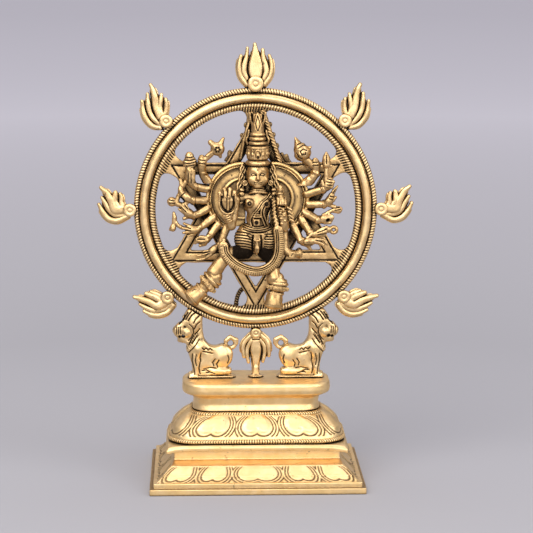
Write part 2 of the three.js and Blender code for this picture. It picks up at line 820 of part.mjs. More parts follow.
// Rear arms from the top of each fan down: shoulder, wrist and hand in X and Z, then what the hand
// holds. X is measured from the figure's middle.
const REAR_ARMS = {
  left: [
    { from: [-23.4, 170.6], wrist: [-28.6, 174.4], hand: [-29.4, 179.4], holds: "mace" },
    { from: [-28, 165.2], wrist: [-33.4, 167], hand: [-36.6, 171.4], holds: "shell" },
    { from: [-29.8, 158.2], wrist: [-36.8, 158.8], hand: [-40.4, 158.6], holds: "noose" },
    { from: [-30, 151.2], wrist: [-34.2, 149.2], hand: [-38.4, 151], holds: "bud" },
    { from: [-27.4, 144.8], wrist: [-31.4, 142.2], hand: [-36, 142.6], holds: "horn" },
    { from: [-22.6, 140.2], wrist: [-25.4, 136.6], hand: [-30.6, 135.2], holds: "nothing" },
    { from: [-18, 138.4], wrist: [-20.8, 131.6], hand: [-25.6, 128.4], holds: "fingers" },
  ],
  right: [
    { from: [24.2, 169.4], wrist: [31.2, 172], hand: [32, 176.2], holds: "conch" },
    { from: [29.6, 162.4], wrist: [36, 163.4], hand: [38.2, 166.2], holds: "sword" },
    { from: [30.6, 155.4], wrist: [36.6, 155.2], hand: [40.4, 156.4], holds: "blade" },
    { from: [29.4, 148.6], wrist: [34.2, 146.6], hand: [38.2, 147.2], holds: "rod" },
    { from: [26, 142.4], wrist: [31.6, 141.2], hand: [36.4, 141.2], holds: "wheel" },
    { from: [21.4, 138.2], wrist: [25.6, 134.8], hand: [30.2, 134], holds: "fingers" },
    { from: [16.6, 138.6], wrist: [17.6, 129.4], hand: [23.6, 127.2], holds: "cuff" },
  ],
};

/** The object in a hand at x, z, on the side that out (-1 or 1) points to. */
function attribute(kind, x, z, out, y) {
  const reach = (dx, dz) => [x + out * dx, y, z + dz];
  switch (kind) {
    case "mace":
      return join(
        limb(reach(0, 0), reach(-9, 6), 1.1, 1.1, 6),
        ball(reach(-9.4, 6), [3.3, 2.6, 3.3]),
        limb(reach(-10, 8), reach(-11.6, 10.6), 1.3, 0.6, 6),
        limb(reach(-7.4, 8.4), reach(-6, 10.2), 1.2, 0.8, 6),
      );
    case "shell":
      return join(
        limb(reach(-0.4, 3), reach(-1.4, 8.4), 1.6, 3, 8),
        limb(reach(-1.4, 8.4), reach(0.4, 12.4), 3, 0.8, 8),
      );
    case "noose":
      return join(limb(reach(0, 0), reach(4, -1), 1.3, 1.3, 6), ball(reach(5.4, -1.4), [2.2, 2, 2.2]));
    case "bud":
      return limb(reach(0.6, 0.5), reach(2.6, 1.4), 1.5, 1.1);
    case "horn":
      return join(
        limb(reach(0, 0), reach(7, 1), 1.3, 1.2, 6),
        limb(reach(7.4, 7), reach(9.2, -0.6), 1.7, 0.8, 6),
        limb(reach(6, 0.8), reach(8, 4), 1.2, 1.2, 6),
      );
    case "conch":
      return join(
        limb(reach(-3.6, 2.6), reach(-6.4, 7), 1.8, 3.6, 8),
        limb(reach(-6.8, 8), reach(-10.4, 14.6), 3.4, 0.5, 8),
        limb(reach(0, 0), reach(-3.6, 2.6), 1.5, 1.8, 6),
      );
    case "sword":
      return join(
        limb(reach(-0.4, 0), reach(-0.4, 8), 0.9, 0.9, 6),
        limb(reach(-0.4, 9.8), reach(-0.4, 15.6), 1.9, 0.4, 6),
        limb(reach(-2.2, 9.6), reach(1.4, 9.6), 0.8, 0.8, 6),
      );
    case "blade":
      return limb(reach(0.4, 1), reach(3.4, 7.4), 1.4, 0.5, 6);
    case "rod":
      return limb(reach(0, 0), reach(8, 4.4), 1.2, 0.9, 6);
    case "wheel":
      return join(
        hoop(reach(5.6, -0.6), [0, 1, 0], 2.2, 0.7),
        limb(reach(0, 0), reach(3.6, -0.4), 1.3, 1.1, 6),
        ball(reach(5.6, -0.6), [1.9, 0.6, 1.9], 6, 4),
      );
    case "fingers":
      return limb(reach(1.4, -0.6), reach(7.2, -2.4), 1.2, 0.6, 6);
    case "cuff":
      return hoop(reach(0.4, 0.2), [1, 0, 0], 1.9, 0.8);
    default:
      return ball([x, y, z], [1, 1, 1], 6, 4);
  }
}

/** Stub, bangle, wrist, hand and what it holds, in one casting. */
function rearArm({ from, wrist, hand, holds }, side) {
  const start = [from[0], ARM.y, from[1]];
  const elbow = [wrist[0], ARM.y - 0.8, wrist[1]];
  const palm = [hand[0], ARM.handY, hand[1]];
  const arm = [
    limb(start, elbow, ARM.stub, ARM.wrist),
    limb(elbow, palm, ARM.wrist, ARM.wrist),
    limb(middle(start, elbow, 0.66), middle(start, elbow, 0.9), ARM.bangle),
    ball(palm, [ARM.hand, 1.9, ARM.hand]),
    attribute(holds, palm[0], palm[2], side, ARM.handY),
  ];
  const { x, z, radius, front, back } = FAN;
  const fanSpace = disc(side * x, z, radius + GAP, front - 1 - GAP, back + GAP, 36);
  return cut(join(...arm), fanSpace, BEHIND);
}

for (const [word, side] of SIDES) {
  REAR_ARMS[word].forEach((arm, i) => {
    place(figure, `rear_arm_${word}_${i + 1}`, rearArm(arm, side));
  });
}

/** The front left arm bends up to an open raised hand with a trident on its palm. */
function frontArmLeft() {
  const elbow = [-13.4, -13, 143.6];
  return join(
    limb([-11.6, -11.4, 155.6], elbow, 2.6, 2.2),
    limb(elbow, [-15.4, -16, 150.6], 2.2, 1.8),
    hoop([-15, -15.4, 149.2], [-0.3, -0.5, 1], 2.1, 0.8),
    ball([-15.8, -16.8, 155.4], [3.8, 2, 5.4]),
    limb([-15.8, -18.4, 152], [-15.8, -18.4, 164], 0.8, 0.5, 6),
  );
}

/** The front right arm bends up to a fist that holds a short club upright. */
function frontArmRight() {
  const elbow = [14.4, -13, 143.6];
  return join(
    limb([11.6, -11.4, 155.6], elbow, 2.6, 2.2),
    limb(elbow, [13.6, -15.4, 152.4], 2.2, 1.8),
    hoop([13.8, -15, 151], [0, -0.3, 1], 2.1, 0.8),
    ball([13.2, -16.4, 156.6], [3.6, 2.4, 3.8]),
    limb([13, -17, 146.4], [13, -17, 163.6], 1.2, 1.6, 6),
  );
}

place(figure, "front_arm_left", frontArmLeft());
place(figure, "front_arm_right", frontArmRight());

export default statue;
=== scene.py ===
# The looks of the brass wheel statue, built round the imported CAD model. Lengths in this script are
# millimetres until a mesh is made; the front of the statue faces -Y.
import math

import bpy
import numpy as np
import openvdb
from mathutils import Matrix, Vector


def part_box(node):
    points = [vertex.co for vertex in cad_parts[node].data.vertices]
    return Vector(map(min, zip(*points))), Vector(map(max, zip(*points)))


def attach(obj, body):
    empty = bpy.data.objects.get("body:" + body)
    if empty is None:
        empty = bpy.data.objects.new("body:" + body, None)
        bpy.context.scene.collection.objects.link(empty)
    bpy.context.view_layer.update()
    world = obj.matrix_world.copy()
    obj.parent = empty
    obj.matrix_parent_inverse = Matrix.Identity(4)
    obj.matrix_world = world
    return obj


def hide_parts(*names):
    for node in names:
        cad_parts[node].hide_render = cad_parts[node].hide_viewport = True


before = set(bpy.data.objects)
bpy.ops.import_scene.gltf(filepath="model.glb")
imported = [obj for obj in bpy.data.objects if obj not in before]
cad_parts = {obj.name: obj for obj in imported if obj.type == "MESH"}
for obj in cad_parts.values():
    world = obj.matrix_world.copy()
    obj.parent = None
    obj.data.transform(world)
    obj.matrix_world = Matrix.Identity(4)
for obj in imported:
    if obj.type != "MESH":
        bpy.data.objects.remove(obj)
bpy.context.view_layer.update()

MM = 0.001
FINE = 1.0


def box_mm(node):
    """A CAD node's lowest and highest corner in millimetres."""
    low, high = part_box(node)
    return np.array(low) / MM, np.array(high) / MM


# ---------------------------------------------------------------- camera, lights and floor

CAMERA_AT = (-31.6, -1103.7, 302.9)
CAMERA_TURN = (80.486, 0.0, -1.949)
LENS = 137.07
SENSOR = 36.0
CLIP_END = 50

# name, place, width and height, watts and colour of each softbox; all of them face AIM
LAMPS = [
    ("key", (-0.75, -0.95, 1.15), (1.1, 1.0), 14.5, (1, 0.99, 0.97)),
    ("fill", (1.15, -0.75, 0.75), (0.8, 1.0), 9, (0.97, 0.98, 1)),
    ("front", (0.1, -2.6, 0.8), (2.6, 1.1), 33, (1, 1, 1)),
    ("top", (0, 0.1, 1.5), (1.4, 1.0), 6, (1, 1, 1)),
]
AIM = (0, 0, 0.12)
SKY_COLOUR = (0.93, 0.91, 1.0, 1)
SKY_FADE = (0.05, 0.85, 0.25, 0.88)  # heights between which the sky brightens, and its strength at each
FLOOR_SIZE = 44
FLOOR_ROUGHNESS = 0.9
FLOOR_REACH = 6.0  # the tones below run out this far from the statue
# how pale the floor is at each distance: lighter away from the lamps, so that it looks even
FLOOR_TONES = [(0, 0.35), (0.4, 0.35), (1.0, 0.47), (2.2, 0.72), (4, 0.70), (6, 0.67)]
FLOOR_TINT = (1.0, 0.975, 1.01)


def add_camera():
    data = bpy.data.cameras.new("camera")
    data.lens = LENS
    data.sensor_width = SENSOR
    data.clip_end = CLIP_END
    camera = bpy.data.objects.new("camera", data)
    camera.location = [v * MM for v in CAMERA_AT]
    camera.rotation_euler = [math.radians(v) for v in CAMERA_TURN]
    bpy.context.scene.collection.objects.link(camera)
    bpy.context.scene.camera = camera


def add_softbox(name, at, size, watts, colour):
    data = bpy.data.lights.new(name, "AREA")
    data.shape = "RECTANGLE"
    data.size, data.size_y = size
    data.energy = watts
    data.color = colour
    lamp = bpy.data.objects.new(name, data)
    lamp.location = at
    aim = np.array(AIM) - np.array(at)
    lamp.rotation_euler = (
        math.atan2(math.hypot(aim[0], aim[1]), -aim[2]),
        0,
        math.atan2(aim[1], aim[0]) - math.pi / 2,
    )
    bpy.context.scene.collection.objects.link(lamp)


def add_sky():
    """Soft light from above that fades towards the horizon, so upright metal keeps its contrast."""
    world = bpy.data.worlds.new("studio")
    bpy.context.scene.world = world
    world.use_nodes = True
    tree = world.node_tree
    background = tree.nodes["Background"]
    direction = tree.nodes.new("ShaderNodeTexCoord")
    split = tree.nodes.new("ShaderNodeSeparateXYZ")
    fade = tree.nodes.new("ShaderNodeMapRange")
    fade.interpolation_type = "SMOOTHSTEP"
    tree.links.new(direction.outputs["Generated"], split.inputs[0])
    tree.links.new(split.outputs["Z"], fade.inputs["Value"])
    for socket, value in zip(("From Min", "From Max", "To Min", "To Max"), SKY_FADE):
        fade.inputs[socket].default_value = value
    tree.links.new(fade.outputs["Result"], background.inputs["Strength"])
    background.inputs["Color"].default_value = SKY_COLOUR


def add_floor():
    bpy.ops.mesh.primitive_plane_add(size=FLOOR_SIZE)
    floor = bpy.context.object
    floor.name = "floor"
    material = bpy.data.materials.new("pale_floor")
    material.use_nodes = True
    tree = material.node_tree
    shader = tree.nodes["Principled BSDF"]
    shader.inputs["Roughness"].default_value = FLOOR_ROUGHNESS
    shader.inputs["Specular IOR Level"].default_value = 0
    place = tree.nodes.new("ShaderNodeTexCoord")
    reach = tree.nodes.new("ShaderNodeVectorMath")
    reach.operation = "LENGTH"
    ramp = tree.nodes.new("ShaderNodeValToRGB")
    spread = tree.nodes.new("ShaderNodeMath")
    spread.operation = "MULTIPLY"
    spread.inputs[1].default_value = 1 / FLOOR_REACH
    tree.links.new(place.outputs["Object"], reach.inputs[0])
    tree.links.new(reach.outputs["Value"], spread.inputs[0])
    tree.links.new(spread.outputs[0], ramp.inputs["Fac"])
    stops = ramp.color_ramp.elements
    while len(stops) < len(FLOOR_TONES):
        stops.new(0.5)
    for stop, (away, tone) in zip(stops, FLOOR_TONES):
        stop.position = away / FLOOR_REACH
        stop.color = (*(tone * tint for tint in FLOOR_TINT), 1)
    tree.links.new(ramp.outputs["Color"], shader.inputs["Base Color"])
    floor.data.materials.append(material)


def add_studio():
    for lamp in LAMPS:
        add_softbox(*lamp)
    add_sky()
    add_floor()
    bpy.context.scene.view_settings.view_transform = "Standard"


# ---------------------------------------------------------------- brass


BARE_SHADE = (0.34, 0.22, 0.10, 1)  # brown at the rim of a hollow: a patina film, and painted shade where the darkening stands for shade
# near black in deep hollows: patina, and painted shade where the darkening stands for shade
PATINA_AND_SHADE = (0.026, 0.018, 0.012, 1)
PIT = (0.06, 0.035, 0.02, 1)
AO_SAMPLES = 6
BUMP = {"Strength": 0.22, "Distance": 0.0002}


def brass(name, bright, shade, roughness, patina_and_shade_gain, pits, reach):
    """Cast brass: polished where it stands proud, dark in hollows. The dark is patina kept there, and
    also shade painted into the colour from ambient occlusion and from the marks each piece carries.
    bright and shade are the two tones of the metal, patina_and_shade_gain is how strongly hollows
    darken, pits how dark the casting pits are, and reach how wide a gap, in metres, still counts as a
    hollow for the painted ambient-occlusion shade."""
    material = bpy.data.materials.new(name)
    material.use_nodes = True
    tree = material.node_tree
    shader = tree.nodes["Principled BSDF"]
    shader.inputs["Metallic"].default_value = 1

    def node(kind, **values):
        made = tree.nodes.new(kind)
        for key, value in values.items():
            setattr(made, key, value)
        return made

    def feed(socket, value):
        if isinstance(value, bpy.types.NodeSocket):
            tree.links.new(value, socket)
        else:
            socket.default_value = value

    def mix(a, b, factor):
        made = node("ShaderNodeMix", data_type="RGBA")
        sockets = {socket.name: socket for socket in made.inputs if socket.enabled}
        feed(sockets["A"], a)
        feed(sockets["B"], b)
        feed(sockets["Factor"], factor)
        return [socket for socket in made.outputs if socket.enabled][0]

    def ramp(value, low, high, out_low=0.0, out_high=1.0):
        made = node("ShaderNodeMapRange", interpolation_type="SMOOTHSTEP")
        names = ("Value", "From Min", "From Max", "To Min", "To Max")
        for key, given in zip(names, (value, low, high, out_low, out_high)):
            feed(made.inputs[key], given)
        return made.outputs["Result"]

    def calc(operation, a, b):
        made = node("ShaderNodeMath", operation=operation)
        feed(made.inputs[0], a)
        feed(made.inputs[1], b)
        return made.outputs[0]

    place = node("ShaderNodeTexCoord").outputs["Object"]

    def noise(scale, detail, rough=0.6):
        made = node("ShaderNodeTexNoise")
        names = ("Vector", "Scale", "Detail", "Roughness")
        for key, given in zip(names, (place, scale, detail, rough)):
            feed(made.inputs[key], given)
        return made.outputs["Fac"]

    # hollows, as patina and as painted shade: what the mesh marks as one and, as painted
    # ambient-occlusion shade, what its surroundings hide, broken up by a fine noise
    cavity = node("ShaderNodeAttribute", attribute_name="cavity").outputs["Fac"]
    occlusion = node("ShaderNodeAmbientOcclusion", samples=AO_SAMPLES)
    occlusion.inputs["Distance"].default_value = reach
    patina_and_shade_mask = calc("MAXIMUM", cavity, ramp(occlusion.outputs["AO"], 0.8, 0.3))
    broken = calc("MULTIPLY", patina_and_shade_mask, ramp(noise(900, 3), 0.2, 0.6, 0.6, 1.0))
    dark = calc("MULTIPLY", broken, patina_and_shade_gain)
    # colour: blotches of the two tones, patina and painted shade in hollows, edges worn bright and
    # casting pits
    colour = mix((*shade, 1), (*bright, 1), ramp(noise(160, 4), 0.35, 0.7))
    colour = mix(colour, BARE_SHADE, ramp(dark, 0.05, 0.45))
    colour = mix(colour, PATINA_AND_SHADE, ramp(dark, 0.3, 0.85))
    edge = ramp(calc("MULTIPLY", cavity, -1.0), 0.04, 0.5)
    colour = mix(colour, (*bright, 1), calc("MULTIPLY", edge, 0.8))
    speck = ramp(noise(420, 2, 0.4), 0.70, 0.76)
    colour = mix(colour, PIT, calc("MULTIPLY", speck, pits))
    feed(shader.inputs["Base Color"], colour)
    worn = ramp(noise(240, 5), 0.3, 0.75, roughness - 0.05, roughness + 0.1)
    feed(shader.inputs["Roughness"], calc("ADD", worn, calc("MULTIPLY", dark, 0.35)))
    # bump: the grain of the casting
    bump = node("ShaderNodeBump")
    for key, given in BUMP.items():
        bump.inputs[key].default_value = given
    feed(bump.inputs["Height"], calc("ADD", calc("MULTIPLY", noise(1500, 3), 0.25), noise(300, 4)))
    feed(shader.inputs["Normal"], bump.outputs["Normal"])
    return material


POLISHED = brass("bright_casting", (0.89, 0.64, 0.33), (0.74, 0.51, 0.24), 0.35, 1.35, 0.6, 0.0042)
ANTIQUED = brass("dark_casting", (0.75, 0.50, 0.23), (0.46, 0.29, 0.12), 0.35, 1.7, 0.8, 0.007)
SATIN = brass("satin_casting", (0.93, 0.68, 0.35), (0.87, 0.60, 0.27), 0.42, 1.0, 0.5, 0.003)
RUBBED = brass("rubbed_casting", (0.84, 0.57, 0.24), (0.66, 0.43, 0.17), 0.33, 1.0, 0.8, 0.0025)

# ---------------------------------------------------------------- meshes


def signed_volume(mesh):
    """The volume a closed mesh encloses, below zero where its faces point inwards."""
    mesh.calc_loop_triangles()
    corners = np.empty(len(mesh.loop_triangles) * 3, np.int32)
    mesh.loop_triangles.foreach_get("vertices", corners)
    places = np.empty(len(mesh.vertices) * 3)
    mesh.vertices.foreach_get("co", places)
    a, b, c = places.reshape(-1, 3)[corners.reshape(-1, 3)].transpose(1, 0, 2)
    return float(np.einsum("ij,ij->i", a, np.cross(b, c)).sum() / 6)


def make_piece(name, points, faces, cavity, material, nodes):
    """One visible piece from points in millimetres, standing for its CAD nodes."""
    mesh = bpy.data.meshes.new(name)
    mesh.from_pydata(points * MM, [], faces)
    mesh.validate()
    if signed_volume(mesh) < 0:
        mesh.flip_normals()
    layer = mesh.attributes.new("cavity", "FLOAT", "POINT")
    layer.data.foreach_set("value", np.asarray(cavity, np.float32).ravel())
    mesh.polygons.foreach_set("use_smooth", [True] * len(mesh.polygons))
    mesh.materials.append(material)
    piece = bpy.data.objects.new(name, mesh)
    bpy.context.scene.collection.objects.link(piece)
    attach(piece, "root")
    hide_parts(*nodes)


def grid_faces(rows, columns, wrap_rows=False, wrap_columns=True):
    """Quads over a grid of points that were listed row by row."""
    index = np.arange(rows * columns).reshape(rows, columns)
    if wrap_columns:
        index = np.concatenate([index, index[:, :1]], axis=1)
    if wrap_rows:
        index = np.concatenate([index, index[:1]], axis=0)
    a, b, c, d = index[:-1, :-1], index[:-1, 1:], index[1:, 1:], index[1:, :-1]
    return np.stack([a, b, c, d], axis=-1).reshape(-1, 4).tolist()


def capped(points, ends):
    """Points and faces of a stack of closed rows, with a fan of triangles over each end."""
    rows, count = points.shape[:2]
    body = points.reshape(-1, 3)
    faces = grid_faces(rows, count)
    last = (rows - 1) * count
    for k in range(count):
        following = (k + 1) % count
        faces.append([len(body), following, k])
        faces.append([len(body) + 1, last + k, last + following])
    return np.vstack([body, ends]), faces


def ripple(points, size, seed):
    """Smooth unevenness of hand-finished metal, about -1 to 1, with bumps of the given size."""
    random = np.random.default_rng(seed)
    total = np.zeros(points.shape[:-1])
    for _ in range(5):
        wave = random.normal(size=3)
        wave *= 2 * math.pi / (size * np.linalg.norm(wave) * random.uniform(0.7, 1.5))
        total += np.sin(points @ wave + random.uniform(0, 2 * math.pi))
    return total / 3


def groove(distance, width):
    """How deep a cut line is at a distance from its middle, 1 at the middle."""
    return np.exp(-((distance / width) ** 2))


def grid_normals(points, wrap_rows, wrap_columns):
    """Unit normals of a grid of points."""

    def slope(axis, wrap):
        if wrap:
            return np.roll(points, -1, axis) - np.roll(points, 1, axis)
        return np.gradient(points, axis=axis)

    normal = np.cross(slope(1, wrap_columns), slope(0, wrap_rows))
    length = np.linalg.norm(normal, axis=-1, keepdims=True)
    return normal / np.maximum(length, 1e-9)


# ---------------------------------------------------------------- pedestal tiers


class Outline:
    """Points round a rectangle with rounded corners, the same count for every size of it. s is the
    distance round the middle size from the middle of the front, and side and share say which flat
    side a point is on (0 front, 1 right, 2 back, 3 left) and how far along, from -1 to 1."""

    def __init__(self, half_width, half_depth, corner, step, corner_step):
        self.parts = []
        long_side = max(2, round(2 * (half_width - corner) / step))
        short_side = max(2, round(2 * (half_depth - corner) / step))
        bend = max(3, round(0.5 * math.pi * corner / corner_step))
        counts = [long_side, short_side, long_side, short_side]
        for side, count in enumerate(counts):
            self.parts.append((side, "flat", np.linspace(-1, 1, count, endpoint=False)))
            self.parts.append((side, "bend", np.linspace(0, 1, bend, endpoint=False)))
        ring = self.points(half_width, half_depth, corner)
        reach = np.linalg.norm(np.diff(ring, axis=0, append=ring[:1]), axis=1)
        total = reach.sum()
        along = np.concatenate([[0], np.cumsum(reach)[:-1]])
        front_middle = half_width - corner
        self.total = total
        self.s = (along - front_middle + total / 2) % total - total / 2
        self.side = np.concatenate([np.full(len(v), k) for k, _, v in self.parts])
        shares = [v if kind == "flat" else np.ones(len(v)) for _, kind, v in self.parts]
        self.share = np.concatenate(shares)

    def points(self, half_width, half_depth, corner):
        x, y = half_width - corner, half_depth - corner
        starts = [(-x, -half_depth), (half_width, -y), (x, half_depth), (-half_width, y)]
        ends = [(x, -half_depth), (half_width, y), (-x, half_depth), (-half_width, -y)]
        centres = [(x, -y), (x, y), (-x, y), (-x, -y)]
        ring = []
        for side, kind, values in self.parts:
            if kind == "flat":
                share = (values[:, None] + 1) / 2
                ring.append(np.array(starts[side]) * (1 - share) + np.array(ends[side]) * share)
            else:
                angle = (values + side - 1) * math.pi / 2
                turn = np.stack([np.cos(angle), np.sin(angle)], axis=1)
                ring.append(np.array(centres[side]) + corner * turn)
        return np.concatenate(ring)


def profile_rows(levels, step):
    """Levels (half width, half depth, corner, z) with rows filled in between."""
    levels = np.array(levels, float)
    rows = [levels[0]]
    for a, b in zip(levels[:-1], levels[1:]):
        length = math.hypot(max(abs(b[0] - a[0]), abs(b[1] - a[1])), b[3] - a[3])
        count = max(1, math.ceil(length / step))
        rows.extend(a + (b - a) * k / count for k in range(1, count + 1))
    return np.array(rows)


def rounded_profile(levels, radius, steps=3):
    """The same profile with each inner corner cut by a small round."""
    levels = np.array(levels, float)
    result = [levels[0]]
    for before, at, after in zip(levels[:-2], levels[1:-1], levels[2:]):
        lead = (before - at)[[0, 3]]
        trail = (after - at)[[0, 3]]
        near = min(0.45, radius / max(np.linalg.norm(lead), 1e-6))
        far = min(0.45, radius / max(np.linalg.norm(trail), 1e-6))
        start, end = at + (before - at) * near, at + (after - at) * far
        for k in range(steps + 1):
            t = k / steps
            result.append((1 - t) ** 2 * start + 2 * t * (1 - t) * at + t * t * end)
    result.append(levels[-1])
    return np.array(result)


def tier(name, levels, outline, step, decorate, material, nodes, seed, wave=0.05, round_=0.35):
    """A closed tier of the pedestal. decorate(points, outline, rows) gives how far each point sinks
    (mm) and how dark it is; it may move the points too."""
    rows = profile_rows(rounded_profile(levels, round_), step)
    height = np.ones(len(outline.s))
    points = np.stack([np.column_stack([outline.points(w, d, c), z * height]) for w, d, c, z in rows])
    sink, dark = decorate(points, outline, rows)
    normal = grid_normals(points, False, True)
    uneven = wave * ripple(points, 17, seed)
    points = points + normal * (uneven - sink)[..., None]
    body, faces = capped(points, [points[0].mean(axis=0), points[-1].mean(axis=0)])
    make_piece(name, body, faces, np.concatenate([dark.ravel(), [0, 0]]), material, nodes)


def petal_distance(across, up, half_width, height):
    """Distance to the outline of a lotus petal that hangs from the top with two round lobes."""
    lobe = 0.6 * half_width
    tall = min(lobe, 0.45 * height)
    x = np.abs(across)
    below = np.hypot(x - (half_width - lobe), (up - tall) * lobe / tall) - lobe
    share = np.clip((up - tall) / (height - tall), 0, 1)
    beside = x - half_width * (1 - 0.4 * share**2)
    return np.where(up < tall, below, np.maximum(beside, -lobe - 5))


def petal_lines(distance, up, gap, width):
    """Cut lines along the petal's outline and twice more round it, further out."""
    outer = (distance > 0.5 * gap) & (up > -0.2)
    rings = np.maximum(groove(distance - gap, width), groove(distance - 2 * gap, width))
    return np.maximum(groove(distance, width), np.where(outer, rings, 0))


def smooth_step(value, low, high):
    """0 below low, 1 above high and a smooth rise between."""
    t = np.clip((value - low) / (high - low), 0, 1)
    return t * t * (3 - 2 * t)


def plain(points, outline, rows):
    """No decoration."""
    return np.zeros(points.shape[:2]), np.zeros(points.shape[:2])


def build_plinth():
    _, (width, depth, top) = box_mm("plinth")
    band, step_top, flare_low, flare_top = 3.4, 6.1, 6.2, 14.2
    levels = [
        (width - 7, depth - 7, 0.4, 9.0),
        (width - 6.6, depth - 6.6, 0.4, 0.0),
        (width, depth, 0.6, 0.0),
        (width, depth, 0.6, band),
        (width - 2.05, depth - 2, 0.6, band),
        (width - 2.05, depth - 2, 0.6, step_top),
        (width - 3.65, depth - 3.5, 0.6, step_top),
        (width - 5.6, depth - 5.8, 0.6, 7.6),
        (width - 7.9, depth - 8.4, 0.6, 9.7),
        (width - 9.9, depth - 10.7, 0.6, 11.8),
        (width - 12.1, depth - 12.9, 0.6, flare_top - 0.7),
        (width - 13.0, depth - 21.9, 0.6, flare_top),
        (width - 13.0, depth - 21.9, 0.6, top),
        (width - 20, depth - 28, 0.6, top),
    ]
    outline = Outline(width - 8, depth - 12, 0.6, 0.56 * FINE, 0.3)
    half_lengths = np.array([50.0, 31.5, 50.0, 31.5])  # of the flare's four sides
    slope = 11.5  # length of the flare from its foot to its top
    # middle and half width of each petal along the front and back, and along the two ends
    petals = (
        [(0, 11.2), (-23.4, 6.9), (23.4, 6.9), (-42, 6.6), (42, 6.6)],
        [(0, 9.5), (-19.5, 6.4), (19.5, 6.4)],
    )

    def decorate(points, ring, rows):
        z = points[..., 2]
        up = (z - flare_low) / (flare_top - 0.7 - flare_low) * slope
        on_flare = (rows[:, 3] > step_top) & (rows[:, 3] <= flare_top - 0.6)
        on_flare &= (rows[:, 0] < width - 3.2) & (rows[:, 0] > width - 12.3)
        along = ring.share * half_lengths[ring.side]
        distance = np.full(points.shape[:2], 1e3)
        for side in range(4):
            here = ring.side == side
            for centre, half in petals[side % 2]:
                d = petal_distance(along[here][None] - centre, up[:, here] - 1.0, half, slope)
                distance[:, here] = np.minimum(distance[:, here], d)
        line = petal_lines(distance, up, 1.6, 0.44)
        line *= on_flare[:, None] * smooth_step(up, -0.4, 0.6) * smooth_step(slope - up, 0.2, 1.4)
        seam = groove(z - band - 0.1, 0.25) * (rows[:, 0] > width - 2.6)[:, None]
        return 0.36 * line, np.maximum(0.72 * line, 0.5 * seam)

    tier("plinth_detail", levels, outline, 0.45 * FINE, decorate, SATIN, ["plinth"], 11)


CORNER_DROOP = 2.1  # how far the thin slab's corners hang down


def build_slab():
    _, (width, depth, top) = box_mm("plinth_slab")
    outline = Outline(width, depth, 1.0, 0.8 * FINE, 0.4)
    levels = [
        (width - 6, depth - 6, 0.6, top - 3.1),
        (width, depth, 1.0, top - 3.1),
        (width, depth, 1.0, top - 1.3),
        (width - 1.4, depth - 1.2, 1.0, top - 0.1),
        (width - 7, depth - 6, 1.0, top + 0.3),
    ]

    def decorate(points, ring, rows):
        towards_corner = (np.abs(points[..., 0]) / width) ** 9 * (np.abs(points[..., 1]) / depth) ** 4
        points[..., 2] -= CORNER_DROOP * towards_corner
        return plain(points, ring, rows)

    tier("slab_detail", levels, outline, 0.6 * FINE, decorate, SATIN, ["plinth_slab"], 12)


LOTUS_PETALS = 10


def build_lotus():
    (_, _, bottom), (width, depth, _) = box_mm("lotus_tier")
    shape = [(0, 0, 0), (0.9, 0.7, 2.2), (0.2, 0.1, 4.6), (-1.4, -1.0, 7.4), (-3.9, -2.6, 10.0)]
    shape += [(-6.6, -4.3, 12.4), (-9.4, -6.2, 14.2), (-11.6, -7.8, 15.0)]
    levels = [(width + w, depth + d, 14 + d * 0.4, bottom + up) for w, d, up in shape]
    outline = Outline(width, depth, 13, 0.42 * FINE, 0.42 * FINE)
    spacing = outline.total / LOTUS_PETALS

    def decorate(points, ring, rows):
        steps = np.linalg.norm(np.diff(rows[:, [0, 3]], axis=0), axis=1)
        reach = np.concatenate([[0], np.cumsum(steps)])
        up = np.repeat(reach[:, None] - 4.2, len(ring.s), axis=1)
        across = (ring.s + spacing / 2) % spacing - spacing / 2
        shrink = (rows[:, 0] / width)[:, None]
        distance = petal_distance(across[None] * shrink ** 0.5, up, 0.36 * spacing, 14)
        line = petal_lines(distance, up, 1.7, 0.46)
        line = line * smooth_step(up, -0.8, 0.2) * smooth_step(15.5 - up, 0.4, 2)
        swell = 0.45 * smooth_step(-distance, 0.3, 3.5) * smooth_step(up, 0.5, 3)
        return 0.42 * line - swell, 0.72 * line

    tier("lotus_detail", levels, outline, 0.4 * FINE, decorate, SATIN, ["lotus_tier"], 13)


BEAD_PITCH = 1.42
BEAD_RADIUS = 1.2
BEAD_HALF_HEIGHT = 1.15


def build_beads(name, node, corner):
    """A bead moulding: a thin rail cut across into a row of small grains."""
    (_, _, bottom), (width, depth, top) = box_mm(node)
    outline = Outline(width, depth, corner, 0.3 * FINE, 0.3 * FINE)
    levels = []
    for turn in np.linspace(-0.75 * math.pi, 0.75 * math.pi, 11):
        out = BEAD_RADIUS * (math.cos(turn) - 1)
        level = (bottom + top) / 2 + BEAD_HALF_HEIGHT * math.sin(turn)
        levels.append((width + out, depth + out, corner, level))
    count = round(outline.total / BEAD_PITCH)

    def decorate(points, ring, rows):
        phase = ring.s * count / ring.total * math.pi
        cut = np.abs(np.cos(phase)) ** 6
        outward = smooth_step(rows[:, 0], width - 1.6, width - 0.3)[:, None]
        sink = 0.42 * cut[None] * (0.35 + 0.65 * outward)
        return sink, 0.8 * cut[None] * np.ones_like(sink)

    tier(name, levels, outline, 0.35 * FINE, decorate, SATIN, [node], 14, 0.02, 0.02)


